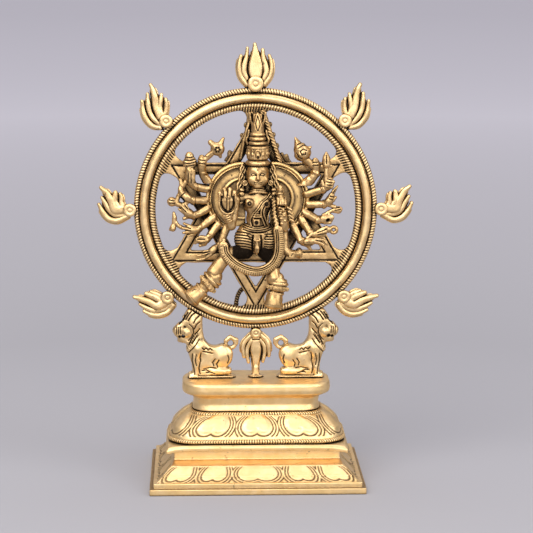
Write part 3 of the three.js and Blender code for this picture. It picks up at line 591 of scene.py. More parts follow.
def build_seat():
    (_, _, bottom), (width, depth, top) = box_mm("seat")
    waist_w, waist_d = width - 5.6, depth - 3.0
    levels = [
        (waist_w - 8, waist_d - 8, 6, bottom),
        (waist_w, waist_d, 11, bottom),
        (waist_w - 0.8, waist_d - 0.8, 11, bottom + 3.6),
        (waist_w - 0.2, waist_d - 0.2, 11, bottom + 7.4),
        (width - 2.6, depth - 2.2, 12, bottom + 8.5),
        (width - 0.5, depth - 0.4, 13, bottom + 9.6),
        (width, depth, 13, bottom + 11.6),
        (width - 0.2, depth - 0.1, 13, top - 1.3),
        (width - 1.2, depth - 0.9, 12.5, top - 0.25),
        (width - 3.5, depth - 3, 12, top),
        (width - 12, depth - 10, 8, top + 0.05),
    ]
    outline = Outline(width, depth, 12, 0.7 * FINE, 0.5 * FINE)
    tier("seat_detail", levels, outline, 0.5 * FINE, plain, SATIN, ["seat"], 15, 0.09, 0.7)


# ---------------------------------------------------------------- wheel band, ropes and rivets

WHEEL_LOW, WHEEL_HIGH = box_mm("wheel_band")
WHEEL_Z = (WHEEL_LOW[2] + WHEEL_HIGH[2]) / 2
BAND_OUTER = (WHEEL_HIGH[0] - WHEEL_LOW[0]) / 2
BAND_DEPTH = WHEEL_HIGH[1]
ROPE_OUTER = box_mm("outer_rope_edge")[1][0]
ROPE_INNER = -box_mm("inner_rope_edge")[0][0] - 3.2
BAND_INNER = 58.6
ROPE_HALF_DEPTH = 1.75


def wheel_grid(radius, depth, angles):
    """Points of a ring about the wheel's axis from its section's radii and depths."""
    x = radius * np.cos(angles)[:, None]
    z = WHEEL_Z + radius * np.sin(angles)[:, None]
    y = np.broadcast_to(depth, x.shape)
    return np.stack([x, y, z], axis=-1)


def build_band():
    angles = np.linspace(0, 2 * math.pi, round(420 / FINE), endpoint=False)
    turn = np.linspace(0, 2 * math.pi, 28, endpoint=False)
    middle, reach = (BAND_OUTER + BAND_INNER) / 2, (BAND_OUTER - BAND_INNER) / 2
    section_r = middle + reach * np.sign(np.cos(turn)) * np.abs(np.cos(turn)) ** 0.8
    section_y = BAND_DEPTH * np.sin(turn)
    points = wheel_grid(section_r[None], section_y[None], angles)
    normal = grid_normals(points, True, True)
    points += normal * (0.07 * ripple(points, 14, 21) + 0.03 * ripple(points, 5, 22))[..., None]
    faces = grid_faces(len(angles), len(turn), True, True)
    body = points.reshape(-1, 3)
    make_piece("band_detail", body, faces, np.zeros(len(body)), POLISHED, ["wheel_band"])


def build_rope(name, node, rim, root, strands):
    """A rope edge twisted like a cord, flattened against the band."""
    per_strand = 6
    angles = np.linspace(0, 2 * math.pi, strands * per_strand, endpoint=False)
    turn = np.linspace(0, 2 * math.pi, 14, endpoint=False)
    outward = np.sign(rim - root)
    middle, reach = (rim + root) / 2, abs(rim - root) / 2 + 0.25
    circle = 60 * np.stack([np.cos(angles), np.sin(angles), np.zeros_like(angles)], -1)
    uneven = 0.7 * ripple(circle, 9, strands)
    phase = (strands * angles + uneven)[:, None] - 2 * outward * turn
    cut = np.abs(np.cos(phase / 2)) ** 8
    size = 1 - 0.2 * cut
    depth = ROPE_HALF_DEPTH * size * np.sin(turn)
    points = wheel_grid(middle + reach * size * np.cos(turn), depth, angles)
    faces = grid_faces(len(angles), len(turn), True, True)
    against_band = smooth_step(-outward * np.cos(turn), 0.2, 0.9)[None]
    cavity = np.maximum(0.72 * cut, 0.7 * against_band)
    make_piece(name, points.reshape(-1, 3), faces, cavity, POLISHED, [node])


def build_rivet(word):
    """A round head with a ring punched round its middle, and its peened tail at the back."""
    node = f"rivet_{word}"
    low, high = box_mm(node)
    centre = (low + high) / 2
    head = (high[2] - low[2]) / 2
    front, back = low[1], high[1]
    mark = 0.34 * head
    profile = [
        (0, front, 0), (0.1 * head, front, 0), (mark - 0.14, front, 0), (mark, front + 0.12, 0.35),
        (mark + 0.16, front + 0.02, 0), (0.7 * head, front - 0.06, 0), (0.88 * head, front + 0.04, 0),
        (0.97 * head, front + 0.3, 0), (head, front + 0.8, 0), (head, front + 1.7, 0.5),
        (1.3, front + 1.75, 0.8), (1.3, back - 1.0, 0.8), (2.3, back - 0.9, 0.4),
        (2.2, back - 0.4, 0), (1.5, back - 0.05, 0), (0, back, 0),
    ]
    turn = np.linspace(0, 2 * math.pi, 36, endpoint=False)
    section = np.array(profile[1:-1])
    x = centre[0] + section[:, 0][:, None] * np.cos(turn)[None]
    z = centre[2] + section[:, 0][:, None] * np.sin(turn)[None]
    y = np.broadcast_to(section[:, 1][:, None], x.shape)
    ends = [(centre[0], profile[end][1], centre[2]) for end in (0, -1)]
    body, faces = capped(np.stack([x, y, z], axis=-1), ends)
    cavity = np.concatenate([np.repeat(section[:, 2], len(turn)), [0, 0]])
    make_piece(f"{node}_detail", body, faces, cavity, POLISHED, [node])


# ---------------------------------------------------------------- clay: shapes on a grid of distances

FAR = 1.6  # distances are kept up to this far from a surface
DRAWN = -0.6  # the drawings below measure X from a line this far from the wheel's axis


def soft_min(a, b, blend):
    if blend <= 0:
        return np.minimum(a, b)
    near = np.clip(blend - np.abs(a - b), 0, None) / blend
    return np.minimum(a, b) - 0.25 * blend * near * near


def rod(a, b, ra, rb=None):
    """A round bar between two points with a radius at each end."""
    rb = ra if rb is None else rb
    a, b = np.array(a, np.float32), np.array(b, np.float32)
    along = b - a
    length2 = max(float(along @ along), 1e-9)
    reach = max(ra, rb)

    def distance(x, y, z):
        x, y, z = x - a[0], y - a[1], z - a[2]
        t = np.clip((x * along[0] + y * along[1] + z * along[2]) / length2, 0, 1)
        away = (x - t * along[0]) ** 2 + (y - t * along[1]) ** 2 + (z - t * along[2]) ** 2
        return np.sqrt(away) - (ra + (rb - ra) * t)

    return np.minimum(a, b) - reach, np.maximum(a, b) + reach, distance


def egg(centre, radii, lean=0.0):
    """An ellipsoid, leaning by an angle in degrees in the plane of the wheel."""
    centre, radii = np.array(centre, float), np.array(radii, float)
    c, s = math.cos(math.radians(lean)), math.sin(math.radians(lean))
    reach_x = math.hypot(radii[0] * c, radii[2] * s)
    reach_z = math.hypot(radii[0] * s, radii[2] * c)
    reach = np.array([reach_x, radii[1], reach_z])

    def distance(x, y, z):
        u = (x - centre[0]) * c + (z - centre[2]) * s
        w = (z - centre[2]) * c - (x - centre[0]) * s
        v = y - centre[1]
        near = np.sqrt((u / radii[0]) ** 2 + (v / radii[1]) ** 2 + (w / radii[2]) ** 2)
        steep = np.sqrt((u / radii[0] ** 2) ** 2 + (v / radii[1] ** 2) ** 2 + (w / radii[2] ** 2) ** 2)
        return near * (near - 1) / np.maximum(steep, 1e-6)

    return centre - reach, centre + reach, distance


def hoop(centre, axis, radius, wire, squash=1.0):
    """A ring of round wire about an axis; squash flattens the ring's radius along Y."""
    centre, axis = np.array(centre, float), np.array(axis, float)
    axis = axis / np.linalg.norm(axis)
    reach = radius + wire

    def distance(x, y, z):
        dx, dy, dz = x - centre[0], (y - centre[1]) / squash, z - centre[2]
        up = dx * axis[0] + dy * axis[1] + dz * axis[2]
        out = np.sqrt(np.maximum(dx * dx + dy * dy + dz * dz - up * up, 0))
        return np.hypot(out - radius, up) - wire

    return centre - reach, centre + reach, distance


def outline_distance(outline, x, z):
    """Signed distance to a closed outline in X and Z, below zero inside it."""
    points = np.array(outline, float)
    nearest = np.full(np.broadcast(x, z).shape, 1e9)
    inside = np.zeros(nearest.shape, bool)
    for (ax, az), (bx, bz) in zip(points, np.roll(points, -1, axis=0)):
        ex, ez = bx - ax, bz - az
        t = np.clip(((x - ax) * ex + (z - az) * ez) / max(ex * ex + ez * ez, 1e-9), 0, 1)
        nearest = np.minimum(nearest, (x - ax - t * ex) ** 2 + (z - az - t * ez) ** 2)
        crosses = (az > z) != (bz > z)
        edge = ax + (z - az) / (ez if abs(ez) > 1e-9 else 1e-9) * ex
        inside ^= crosses & (x < edge)
    return np.where(inside, -1, 1) * np.sqrt(nearest)


def line_distance(line, x, z):
    """Distance to an open line in X and Z whose points may carry a radius."""
    best = np.full(np.broadcast(x, z).shape, 1e9)
    for a, b in zip(line[:-1], line[1:]):
        ex, ez = b[0] - a[0], b[1] - a[1]
        t = np.clip(((x - a[0]) * ex + (z - a[1]) * ez) / max(ex * ex + ez * ez, 1e-9), 0, 1)
        away = np.hypot(x - a[0] - t * ex, z - a[1] - t * ez)
        if len(a) > 2:
            away = away - (a[2] + (b[2] - a[2]) * t)
        best = np.minimum(best, away)
    return best


def curve(points, per_span=6, closed=False):
    """A smooth line through points of any number of values each."""
    points = np.array(points, float)
    if closed:
        points = np.concatenate([points[-1:], points, points[:2]])
    else:
        before, after = 2 * points[:1] - points[1:2], 2 * points[-1:] - points[-2:-1]
        points = np.concatenate([before, points, after])
    result = []
    for a, b, c, d in zip(points[:-3], points[1:-2], points[2:-1], points[3:]):
        bend, twist = 2 * a - 5 * b + 4 * c - d, 3 * b - a - 3 * c + d
        for k in range(per_span):
            t = k / per_span
            result.append(0.5 * (2 * b + (c - a) * t + bend * t * t + twist * t**3))
    if not closed:
        result.append(points[-2])
    return np.array(result)


def slab(flat, low, high, middle_y, half, rounding):
    """A plate from a flat distance function of X and Z, with rounded edges."""
    low, high = np.array(low, float), np.array(high, float)

    def distance(x, y, z):
        edge = flat(x[:, :, 0], z[0])[:, None, :] + rounding
        face = np.abs(y - middle_y) - half + rounding
        outside = np.hypot(np.maximum(edge, 0), np.maximum(face, 0))
        return outside + np.minimum(np.maximum(edge, face), 0) - rounding

    return (low[0], middle_y - half, low[1]), (high[0], middle_y + half, high[1]), distance


def plate(outline, middle_y, half, rounding):
    points = np.array(outline, float)
    low, high = points.min(axis=0), points.max(axis=0)
    return slab(lambda x, z: outline_distance(points, x, z), low, high, middle_y, half, rounding)


def ribbon(line, middle_y, half, rounding):
    """A plate along a line whose points are x, z and half width."""
    points = np.array(line, float)
    reach = points[:, 2].max()
    low, high = points[:, :2].min(axis=0) - reach, points[:, :2].max(axis=0) + reach
    return slab(lambda x, z: line_distance(points, x, z), low, high, middle_y, half, rounding)


def within_rim(radius, half=9):
    """Everything up to a distance from the wheel's axis, as a shape to cut away."""
    return slab(lambda x, z: np.hypot(x, z - WHEEL_Z) - radius, (-70, 80), (70, 220), 0, half, 0.1)


def beyond_rim(radius, half=9):
    """Everything further than a distance from the wheel's axis, as a shape to cut away."""
    return slab(lambda x, z: radius - np.hypot(x, z - WHEEL_Z), (-70, 80), (70, 220), 0, half, 0.1)


def below(level):
    """Everything under a height, as a shape to cut away."""
    return slab(lambda x, z: z - level, (-70, level - 20), (70, level), 0, 24, 0.1)


def above(level):
    """Everything over a height, as a shape to cut away."""
    return slab(lambda x, z: level - z, (-70, level), (70, level + 20), 0, 24, 0.1)


def box_mean(field, reach):
    """The mean over a cube of cells that reaches this many cells each way."""
    for axis in range(3):
        pad = [(0, 0)] * 3
        pad[axis] = (reach + 1, reach)
        total = np.cumsum(np.pad(field, pad, mode="edge"), axis=axis, dtype=np.float64)
        size = field.shape[axis]
        upper = np.take(total, range(2 * reach + 1, 2 * reach + 1 + size), axis=axis)
        lower = np.take(total, range(0, size), axis=axis)
        field = ((upper - lower) / (2 * reach + 1)).astype(np.float32)
    return field


def main_body(count, faces_by_size):
    """A mask of the points on the largest connected part of a mesh."""
    label = np.arange(count)
    while True:
        before = label.copy()
        for faces in faces_by_size:
            if len(faces):
                lowest = label[faces].min(axis=1)
                for corner in range(faces.shape[1]):
                    np.minimum.at(label, faces[:, corner], lowest)
        label = label[label]
        if (label == before).all():
            break
    return label == np.bincount(label).argmax()


class Clay:
    """Metal as distances on a grid of small cells. Shapes are pressed together, cut away and
    engraved, and the skin is taken off at the end."""

    def __init__(self, low, high, cell):
        self.cell = cell * FINE
        self.low = np.array(low, float) - 3 * self.cell
        count = np.ceil((np.array(high, float) - self.low) / self.cell).astype(int) + 3
        self.field = np.full(count, FAR, np.float32)
        self.stain_and_shade = np.zeros(count, np.float32)
        self.axes = [self.low[k] + self.cell * np.arange(count[k]) for k in range(3)]

    def window(self, low, high, margin):
        """The cells of a box grown by a margin, and their places along X, Y and Z."""
        cuts = []
        for k in range(3):
            count = self.field.shape[k]
            first = int(np.clip((low[k] - margin - self.low[k]) / self.cell, 0, count - 1))
            last = int(np.clip((high[k] + margin - self.low[k]) / self.cell + 2, first + 1, count))
            cuts.append(slice(first, last))
        x = self.axes[0][cuts[0]][:, None, None].astype(np.float32)
        y = self.axes[1][cuts[1]][None, :, None].astype(np.float32)
        z = self.axes[2][cuts[2]][None, None, :].astype(np.float32)
        return tuple(cuts), x, y, z

    def add(self, shape, blend=0.3):
        """Press a shape on; blend is how far, in mm, its joint with the rest is filled."""
        low, high, distance = shape
        cuts, x, y, z = self.window(low, high, FAR)
        self.field[cuts] = soft_min(self.field[cuts], distance(x, y, z), blend)

    def cut(self, shape, blend=0.1, stain_and_shade=0.0):
        """Take a shape away; stain is how dark the cut is left."""
        low, high, distance = shape
        cuts, x, y, z = self.window(low, high, FAR)
        away = distance(x, y, z)
        self.field[cuts] = -soft_min(-self.field[cuts], away, blend)
        if stain_and_shade:
            dark = stain_and_shade * np.clip(1 - away / 0.5, 0, 1)
            self.stain_and_shade[cuts] = np.maximum(self.stain_and_shade[cuts], dark)

    def chain(self, points, blend=0.3):
        """Round bars through points of x, y, z and radius; blend is for the first of them."""
        for k, (a, b) in enumerate(zip(points[:-1], points[1:])):
            self.add(rod(a[:3], b[:3], a[3], b[3]), 0.15 if k else blend)

    def line(self, points, radius, blend=0.3):
        """A round wire through points of x, y and z."""
        self.chain([(*point, radius) for point in points], blend)

    def engrave(self, lines, width=0.22, depth=0.3, stain_and_shade=1.0, front=-99, back=99):
        """Cut or, with a depth below zero, raise narrow lines drawn in X and Z."""
        for line in lines:
            line = np.array(line, float)
            low, high = line[:, :2].min(axis=0), line[:, :2].max(axis=0)
            cuts, x, y, z = self.window((low[0], front, low[1]), (high[0], back, high[1]), 3 * width)
            shape = groove(line_distance(line[:, :2], x[:, :, 0], z[0]), width)[:, None, :]
            self.field[cuts] += (depth * shape).astype(np.float32)
            if stain_and_shade:
                self.stain_and_shade[cuts] = np.maximum(self.stain_and_shade[cuts], stain_and_shade * shape)

    def relief(self, low, high, depth_at, stain_and_shade=0.0):
        """Sink the skin by depth_at(x, y, z) within a box; stain_and_shade darkens it where it sinks, as
        a stain in cut lines or as painted shade.
        """
        cuts, x, y, z = self.window(low, high, 0)
        depth = np.broadcast_to(depth_at(x, y, z), self.field[cuts].shape)
        self.field[cuts] += depth.astype(np.float32)
        if stain_and_shade:
            dark = stain_and_shade * np.clip(depth / 0.2, 0, 1)
            self.stain_and_shade[cuts] = np.maximum(self.stain_and_shade[cuts], dark)

    def roughen(self, amount, size, seed):
        """Slight unevenness all over, as hand-finished castings have."""
        x, y, z = np.ix_(*(axis.astype(np.float32) for axis in self.axes))
        random = np.random.default_rng(seed)
        for _ in range(6):
            wave = random.normal(size=3)
            wave *= 2 * math.pi / (size * np.linalg.norm(wave) * random.uniform(0.7, 1.6))
            phase = random.uniform(0, 2 * math.pi)
            swell = np.sin(wave[0] * x + wave[1] * y + wave[2] * z + phase)
            self.field += (amount / 3 * swell).astype(np.float32)

    def sample(self, values, points):
        """Values of a grid at points given in cells."""
        base = np.clip(np.floor(points).astype(int), 0, np.array(values.shape) - 2)
        share = points - base
        total = np.zeros(len(points))
        for corner in np.ndindex(2, 2, 2):
            weight = np.prod(np.where(corner, share, 1 - share), axis=1)
            i, j, k = (base + corner).T
            total += weight * values[i, j, k]
        return total

    def skin(self, node, material, flatness=0.02, hollow_gain=3.6, tarnish=0.0, name=None):
        """Take the skin off as the mesh that stands for a node. Its cavity value is above zero in
        hollows, where stains and patina sit and where shade is painted, and below zero along edges that
        wear bright; tarnish darkens all of it."""
        grid = openvdb.FloatGrid(FAR)
        grid.copyFromArray(self.field, tolerance=0.0)
        points, triangles, quads = grid.convertToPolygons(0.0, flatness)
        triangles, quads = triangles.astype(int), quads.astype(int)
        keep = main_body(len(points), (triangles, quads))
        triangles = triangles[keep[triangles[:, 0]]] if len(triangles) else triangles
        quads = quads[keep[quads[:, 0]]] if len(quads) else quads
        new_index = np.cumsum(keep) - 1
        triangles, quads = new_index[triangles], new_index[quads]
        points = points[keep].astype(float)
        halves = np.concatenate([triangles, quads[:, [0, 1, 2]], quads[:, [0, 2, 3]]])
        a, b, c = (points[halves[:, k]] for k in range(3))
        if np.einsum("ij,ij->", a - points.mean(axis=0), np.cross(b - a, c - a)) < 0:
            triangles, quads = triangles[:, ::-1], quads[:, ::-1]
        near = np.clip(self.field, -1.2, 1.2)
        hollow = -self.sample(box_mean(near, max(1, round(0.7 / self.cell))), points)
        stain_and_shade = self.sample(self.stain_and_shade, points)
        cavity = np.maximum(np.clip(hollow * hollow_gain, -1, 1), stain_and_shade)
        cavity = np.where(cavity > 0, np.clip(cavity + tarnish, 0, 1), cavity + tarnish)
        world = self.low + points * self.cell
        faces = quads.tolist() + triangles.tolist()
        make_piece(name or f"{node}_detail", world, faces, cavity, material, [node])


def drawn(points):
    """Points of a drawing moved to the wheel's axis; the first value is X."""
    points = np.array(points, float)
    points[..., 0] += DRAWN
    return points


# ---------------------------------------------------------------- flames

# Each tongue of a flame is a line of x, z and radius from the middle of its rivet, drawn as on the
# left half. The first tongue is the tallest one.
TONGUES = {
    "top": [
        [(0, 3, 2.2), (0, 6, 2.9), (0, 9.1, 3.15), (-0.1, 12.5, 2.6), (-0.2, 16.5, 1.75),
         (-0.4, 21.2, 0.9)],
        [(-4.7, 2.6, 1.1), (-6.3, 6.4, 1.3), (-6.1, 10, 1.3), (-5, 14, 1.1), (-4.4, 19.2, 0.75)],
        [(4.3, 2.4, 1.1), (5.8, 6.2, 1.3), (5.3, 10, 1.3), (4.1, 14, 1.1), (3.9, 18.2, 0.8)],
        [(-4.6, -0.6, 1.1), (-7.8, 3.4, 1.1), (-9, 8, 1.05), (-8.7, 12, 1), (-7.9, 15, 0.85)],
        [(4.6, -0.6, 1.1), (7.6, 3.4, 1.1), (8.7, 8, 1.05), (8.4, 12, 1), (7.5, 15, 0.85)],
    ],
    "upper": [
        [(-2.8, 2.8, 2), (-5.2, 7.2, 1.6), (-5.9, 12, 1.5), (-6.7, 16.2, 1.2), (-8.3, 19.6, 0.5)],
        [(-3, -2.2, 1.1), (-6.9, 1.4, 1.2), (-9.1, 5.8, 1.25), (-9.8, 10.3, 1.15), (-10, 14.6, 0.85)],
        [(-3.2, -3.9, 1.1), (-7.6, -2.4, 1.15), (-10.9, 1.2, 1.2), (-12.5, 6, 1.1), (-13, 10.6, 0.85)],
        [(-2.8, 4, 1.3), (-3.4, 8, 1.15), (-2.9, 11, 1.1), (-2.4, 14.4, 0.75)],
        [(-1, 2.6, 1.3), (0, 6, 1.1), (0.3, 9, 1), (-0.1, 11.8, 0.8)],
    ],
    "side": [
        [(-4, 0.5, 2), (-8.2, 0.2, 1.9), (-10, 4.6, 1.6), (-12.7, 9.4, 1.4), (-15.7, 12.4, 0.5)],
        [(-3, -2.8, 1.1), (-7.6, -2.9, 1.2), (-11, -0.4, 1.25), (-13.3, 3.4, 1.15), (-15.2, 6.8, 0.8)],
        [(-1.6, -3.6, 1.1), (-7, -6, 1.25), (-11.8, -4.7, 1.25), (-15, -0.9, 1.1), (-16.9, 3, 0.75)],
        [(-6.6, 1.8, 1.5), (-8.2, 4.4, 1.4), (-8.1, 7, 1.4), (-7.8, 9.6, 1)],
        [(-4, 2, 1.4), (-4.7, 4.2, 1.15), (-4.6, 6.4, 1.1), (-5.2, 8.7, 0.8)],
    ],
    "lower": [
        [(-2, -3.4, 2), (-6, -4.8, 1.7), (-10.4, -2.4, 1.5), (-14.8, -0.9, 1.3), (-18.4, 0.1, 0.5)],
        [(2, -3.6, 1.1), (-1.6, -6.5, 1.25), (-6.6, -7.7, 1.3), (-11.2, -6.2, 1.2), (-15.2, -3.9, 0.85)],
        [(3, -4.6, 1.1), (-0.2, -8.5, 1.15), (-4.6, -10.1, 1.2), (-9.2, -9.6, 1.1), (-12.9, -7.9, 0.85)],
        [(-4, -2, 1.4), (-6.4, -0.5, 1.4), (-9.4, 0.9, 1.3), (-11.8, 2, 0.95)],
        [(-2.4, -0.6, 1.4), (-4.5, 0.7, 1.4), (-6.7, 2, 1.3), (-8.9, 3, 0.95)],
    ],
    "foot": [
        [(0, -2, 1.8), (0, -5, 2), (0, -9.4, 2.55), (0, -13, 2.1), (0, -17.5, 1.45), (0, -22, 1.25),
         (0, -25, 1.5)],
        [(-2.6, -1.8, 1.1), (-6.2, -5.4, 1.15), (-7.2, -9, 1.1), (-6.6, -13.6, 0.85)],
        [(2.6, -1.4, 1.1), (6, -4.8, 1.15), (7.2, -8.6, 1.1), (7.2, -13.2, 0.85)],
        [(-2.2, -4.2, 1), (-4.4, -8, 1.1), (-4.9, -12, 1.05), (-4.1, -16.6, 0.8)],
        [(2.4, -4.2, 1), (4.6, -7.6, 1.1), (4.9, -11.6, 1.05), (3.9, -16.4, 0.8)],
    ],
}
TONGUE_BULK = 1.22
TONGUE_DEPTHS = [(-0.15, 1.75), (0.1, 1.5), (-0.05, 1.5), (-0.05, 1.5), (0.15, 1.5)]  # middle and half
WEB_SHARE = 0.78  # the share of each tongue that a thin web joins to its neighbours
TAB_RADIUS = 3.1
RAYS = {
    "top": "top", "upper_left": "upper", "left": "side", "lower_left": "lower",
    "foot": "foot", "lower_right": "lower", "right": "side", "upper_right": "upper",
}


def build_flame(word, kind):
    low, high = box_mm(f"flame_{word}")
    head_low, head_high = box_mm(f"rivet_{word}")
    rivet = (head_low + head_high) / 2
    mirror = -1 if word.endswith("right") else 1
    clay = Clay(low - (1.2, 1, 1.2), high + (1.2, 1, 1.2), 0.26)
    lines = []
    for tongue in TONGUES[kind]:
        line = np.array(tongue, float)
        line[:, 0] = rivet[0] + mirror * line[:, 0]
        line[:, 1] += rivet[2]
        line[:, 2] = np.maximum(line[:, 2] * TONGUE_BULK, 1.0)
        lines.append(curve(line, 4))
    for line in lines:
        web = line[: max(3, round(WEB_SHARE * len(line)))] + (0, 0, 0.7)
        clay.add(ribbon(web, 0.55, 0.75, 0.3), 0.3)

    def tab(x, z):
        return np.hypot(x - rivet[0], z - rivet[2]) - TAB_RADIUS

    clay.add(slab(tab, rivet[[0, 2]] - TAB_RADIUS, rivet[[0, 2]] + TAB_RADIUS, 0, 1.5, 0.3), 0.4)
    for line, (middle, half) in zip(lines, TONGUE_DEPTHS):
        clay.add(ribbon(line, middle, half, 1.15), 0.12)
    if kind == "foot":
        foot = [(high[2] - 22, 1.4), (low[2] + 1.6, 1.9), (low[2] + 0.2, 3.3)]
        clay.add(ribbon([(rivet[0], z, half) for z, half in foot], 0, 2.2, 0.8), 0.8)
        clay.add(egg((rivet[0], 0, low[2] + 0.5), (4.4, 3.4, 0.9)), 0.6)
        clay.cut(below(low[2]))
        clay.engrave([[(rivet[0] - 2, rivet[2] - 3.9), (rivet[0] + 2, rivet[2] - 3.9)]], 0.25, 0.3)
    clay.cut(within_rim(ROPE_OUTER + 0.05))
    clay.roughen(0.1, 7, len(word))
    clay.skin(f"flame_{word}", POLISHED, 0.03)


# ---------------------------------------------------------------- lions

LION_SIDE = [
    (12.6, 55.9), (13.8, 58), (16, 61.2), (14.4, 64.6), (12.9, 69), (14.6, 72.8), (18, 74.6),
    (20.6, 74.0), (23.4, 73.9), (26.4, 74.8), (28.6, 78), (29.4, 83), (29.5, 88), (29.6, 92.8),
    (33, 94.6), (37.4, 94.4), (39.6, 91.4), (41.6, 88), (44, 85.6), (45.6, 82.8), (45.2, 80.2),
    (43.6, 78.6), (42, 75.9), (38.8, 75.2), (38.6, 71.6), (37, 68.4), (35.4, 62), (35.4, 58.4),
    (36.4, 55.9),
]
MANE_TUFTS = [
    [(33.2, 93), (35.6, 91.2), (37.4, 88.4)], [(35.6, 93.4), (37.2, 91.4), (38.8, 88.8)],
    [(37.6, 92.8), (38.7, 91), (40, 88.6)], [(39.2, 91), (40, 89.2), (41.2, 87.4)],
    [(40.6, 89), (41.4, 87.6), (42.4, 86.2)], [(30.8, 91.4), (33, 89.6), (34.4, 87)],
    [(31, 87.6), (32.8, 86.2), (34, 83.8)], [(31, 83.6), (32.4, 82), (33.8, 80.6)],
    [(32.4, 79.6), (34, 77.4), (35.4, 75.4)], [(34.4, 79.8), (35.8, 77.4), (37, 74.6)],
]
LION_LINES = [
    [(31.2, 77.6), (33.2, 74.8), (35.4, 72.2), (37.6, 70)],
    [(36.8, 86.4), (34.8, 84.6), (34.4, 81.6), (35.8, 78.8), (37.4, 77)],
    [(24, 69.8), (27, 70.4), (29.6, 71)],
    [(24.2, 71.4), (25.4, 72.6), (26.4, 71.4), (27.6, 72.8), (28.6, 71.8), (29.8, 73)],
    [(30.4, 70.2), (31, 67.4), (30.6, 65.2)],
    [(31, 64.8), (31.6, 61.4), (31, 58.2)],
    [(33, 69.4), (33.6, 66), (33, 63)],
    [(35.2, 69.6), (35.4, 66), (34.4, 61.6), (34, 58)],
    [(22.6, 66.8), (24, 64.6), (23.4, 62.6)],
    [(20.4, 66.2), (21.8, 64), (21.2, 61.8)],
    [(15.6, 68.8), (14.9, 66.6), (15.8, 64.2)],
    [(29.8, 60), (27.4, 60.4), (25.4, 59.2)],
    [(27.6, 58.8), (25.2, 59.2), (22.8, 58.4)],
    [(22, 61.4), (25, 61.8), (29, 61)],
]


def build_lion(word, side):
    node = f"lion_{word}"
    low, high = box_mm(node)

    def at(x, y, z):
        return (side * x, y, z)

    def flat(points):
        return [(side * p[0], p[1]) for p in points]

    clay = Clay(low - (1.5, 1.4, 0), high + (1.5, 1.4, 2), 0.3)
    clay.add(plate(flat(curve(LION_SIDE, 3, True)), 0, 3.3, 1.9), 0)
    for face in (-1, 1):
        clay.add(egg(at(18.4, face * 1.6, 67.8), (5.6, 2.9, 6.4), side * 10), 0.8)
        clay.add(egg(at(20, face * 2.2, 59.4), (6.6, 2.2, 2.6)), 0.5)
        clay.add(egg(at(32.6, face * 1.4, 72), (4.6, 3.2, 5.4), side * -20), 0.8)
        foreleg = [(33.6, 2, 69, 2.4), (33.4, 2.2, 62, 1.9), (33.6, 2.4, 57.6, 1.9)]
        clay.chain([(*at(x, face * y, z), radius) for x, y, z, radius in foreleg], 0.6)
        clay.add(egg(at(35, face * 2.6, 57.4), (2.6, 1.7, 1.5)), 0.4)
        clay.add(egg(at(34.6, face * 1.2, 87), (4.6, 3.6, 6.4), side * 14), 0.8)
        clay.add(egg(at(38.4, face * 2.6, 81.6), (2.7, 2.1, 3.1)), 0.4)
        clay.add(egg(at(41.4, face * 1.5, 83), (2.2, 1.9, 2.2)), 0.3)
        clay.add(egg(at(36.4, face * 3.3, 86.2), (1.5, 0.9, 1.1), side * 30), 0.3)
        clay.cut(egg(at(39.4, face * 4.3, 85), (0.9, 0.9, 0.6)), 0.2, 0.8)
        clay.add(egg(at(39.4, face * 3.8, 85), (0.5, 0.45, 0.4)), 0.1)
    clay.add(egg(at(43.4, 0, 82.3), (2.7, 3.1, 2.8)), 0.15)
    clay.add(egg(at(41.2, 0, 77.4), (2.5, 2.5, 1.7), side * -24), 0.15)
    clay.cut(rod(at(44.6, 0, 79.6), at(39.4, 0, 79.7), 0.5, 0.55), 0.2, 0.9)
    clay.cut(rod(at(42.2, -5, 79.4), at(42.2, 5, 79.4), 0.55), 0.2, 0.9)
    clay.cut(rod(at(40.2, -5, 79.6), at(40.2, 5, 79.6), 0.75), 0.2, 0.9)
    clay.engrave([flat([(x, 84.6), (x - 0.2, 80.6)]) for x in (41.8, 42.9, 44)], 0.24, 0.35)
    clay.add(hoop(at(14, 0, 75), (0, 1, 0), 2.7, 1.15), 0.2)
    tail = [(16.6, 76.2, 1.3), (14, 78.4, 1.15), (10.9, 76.8, 1.2), (10.4, 74.6, 0.8)]
    clay.chain([(*at(x, 0, z), radius) for x, z, radius in tail], 0.2)
    clay.add(plate(flat([(12.6, 55.9), (12.6, 57.1), (37.2, 57.1), (37.2, 55.9)]), 0, 4.4, 0.4), 0.3)
    clay.engrave([flat(line) for line in MANE_TUFTS], 0.32, 0.5)
    clay.engrave([flat(line) for line in LION_LINES], 0.26, 0.42)
    collar = np.linspace((31.8, 79.6), (37.6, 72.2), 9)
    clay.engrave([flat([spot, spot + (0.9, 2.0)]) for spot in collar], 0.2, 0.22, 0.7)
    clay.cut(within_rim(ROPE_OUTER - 0.4))
    clay.cut(below(low[2]))
    clay.roughen(0.12, 6, 5 + side)
    clay.skin(node, POLISHED, 0.02)


# ---------------------------------------------------------------- star, arch and strut

CROWN_LOW, CROWN_HIGH = box_mm("crown")
FIGURE_X = (CROWN_LOW[0] + CROWN_HIGH[0]) / 2
STAR_Z = 148.0
STAR_INRADIUS = 27.6
STAR_STRIP = 6.7
STAR_FOOT = 4.8


def triangle_distance(x, z, inradius, up):
    """Signed distance, inside below zero, to an upright or hanging triangle on the star's middle."""
    best = np.full(np.broadcast(x, z).shape, -1e9)
    for k in range(3):
        turn = math.radians(up * 90 + 180 + 120 * k)
        best = np.maximum(best, x * math.cos(turn) + (z - STAR_Z) * math.sin(turn) - inradius)
    return best


